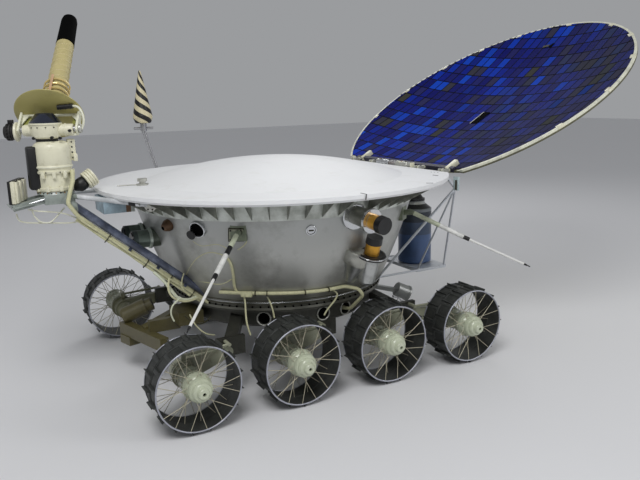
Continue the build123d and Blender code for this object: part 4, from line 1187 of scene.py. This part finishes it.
def front_hoses():
    """Hoses where the aerial's cables reach the hull, and the upper rods' dark sleeves and end fittings."""
    parts = [wire(spots(route), radius * MM, finish) for radius, finish, route in FRONT_HOSES]
    for side in (1, -1):
        near, far = [Vector((x, y * side, z)) for x, y, z in UPPER_ROD]
        way = far - near
        sleeve, nut, stop, end = [spot(*(near + way * share)) for share in (0.74, 0.82, 0.86, 0.97)]
        parts.append(bar(sleeve, nut, 0.0145, BLACK, 20))
        parts.append(bar(nut, stop, 0.0165, CHROME, 20))
        out = Vector((0.62, 0.78 * side, 0))
        parts.append(turned([(0, 0), (0, 34), (5, 34), (7, 30), (7, 14), (16, 13), (18, 0)], ALLOY, end, out,
                            24))
        turn = facing(out).to_matrix()
        for angle in round_ways(6):
            foot = end + turn @ polar(25, angle, 5)
            parts.append(bar(foot, foot + out * 0.006, 0.0045, SCREW, 8))
    fitted(parts, "front_hoses", "rover")


def whip_sleeves():
    """Thicker bright rods and dark joints on the outer lengths of the jointed aerials."""
    parts = []
    for ahead, sign in ((1, 1), (-1, 1), (-1, -1)):
        joint = on_side(WHIP_JOINT, sign, ahead)
        way = on_side(WHIP_TIP, sign, ahead) - joint
        parts.append(bar(joint - way * 0.01, joint + way * 0.09, 0.0115, BLACK, 16))
        parts.append(bar(joint + way * 0.09, joint + way * 0.91, 0.0068, WHITE_ROD, 14))
        parts.append(bar(joint + way * 0.91, joint + way * 0.96, 0.0068, BLACK, 14, 0.004))
    fitted(parts, "whip_sleeves", "rover")


camera_shells()
whip_sleeves()
ring_ports()
front_hoses()
lid_dressed()
drive_dressed()
plate_trim()
hull_bands()
flank_ports()
hull_wires()
truss_wires()
whip_plate()


# Floor, light and camera

def floor_finish():
    """Plain pale floor."""
    made = Finish("floor_plain")
    made.shader["Base Color"].default_value = shade(226, 226, 228)
    made.shader["Roughness"].default_value = 0.75
    return made.material


# Lamps: name, place, height of the point aimed at, power and width
LAMPS = [("key_softbox", (3.0, 3.5, 5.5), 0.6, 190, 3.0), ("fill_softbox", (-3.5, 5.0, 3.0), 0.6, 70, 2.5),
         ("back_softbox", (-3.0, -5.0, 5.0), 0.8, 80, 4.0)]
FLOOR_WIDE = 60


def lamp(name, place, height, power, size):
    """A round soft lamp that looks at a point."""
    data = bpy.data.lights.new(name, "AREA")
    data.energy = power
    data.shape = "DISK"
    data.size = size
    made = placed(name, data)
    made.location = place
    made.rotation_euler = (Vector((0, 0, height)) - Vector(place)).to_track_quat("-Z", "Y").to_euler()


def set_stage():
    """Floor, three soft lamps and a pale world."""
    bpy.ops.object.select_all(action="DESELECT")
    bpy.ops.mesh.primitive_plane_add(size=FLOOR_WIDE, location=(0, 0, 0))
    floor = settle(bpy.context.object, floor_finish())
    floor.name = "floor"
    for row in LAMPS:
        lamp(*row)
    world = bpy.data.worlds.new("pale_room")
    bpy.context.scene.world = world
    world.use_nodes = True
    back = world.node_tree.nodes["Background"]
    back.inputs["Color"].default_value = (0.9, 0.92, 0.95, 1)
    back.inputs["Strength"].default_value = 0.36


def set_camera():
    """The camera where the photograph was taken."""
    data = bpy.data.cameras.new("photo_view")
    data.lens = CAMERA_LENS
    data.sensor_width = 36.0
    made = placed("photo_view", data)
    right, down, ahead = Vector(CAMERA_RIGHT), Vector(CAMERA_DOWN), Vector(CAMERA_AHEAD)
    turn = Matrix((right, -down, -ahead)).transposed().to_4x4()
    made.matrix_world = Matrix.Translation(spot(*CAMERA_AT)) @ turn
    bpy.context.scene.camera = made


set_stage()
set_camera()
bpy.context.scene.view_settings.view_transform = "Standard"
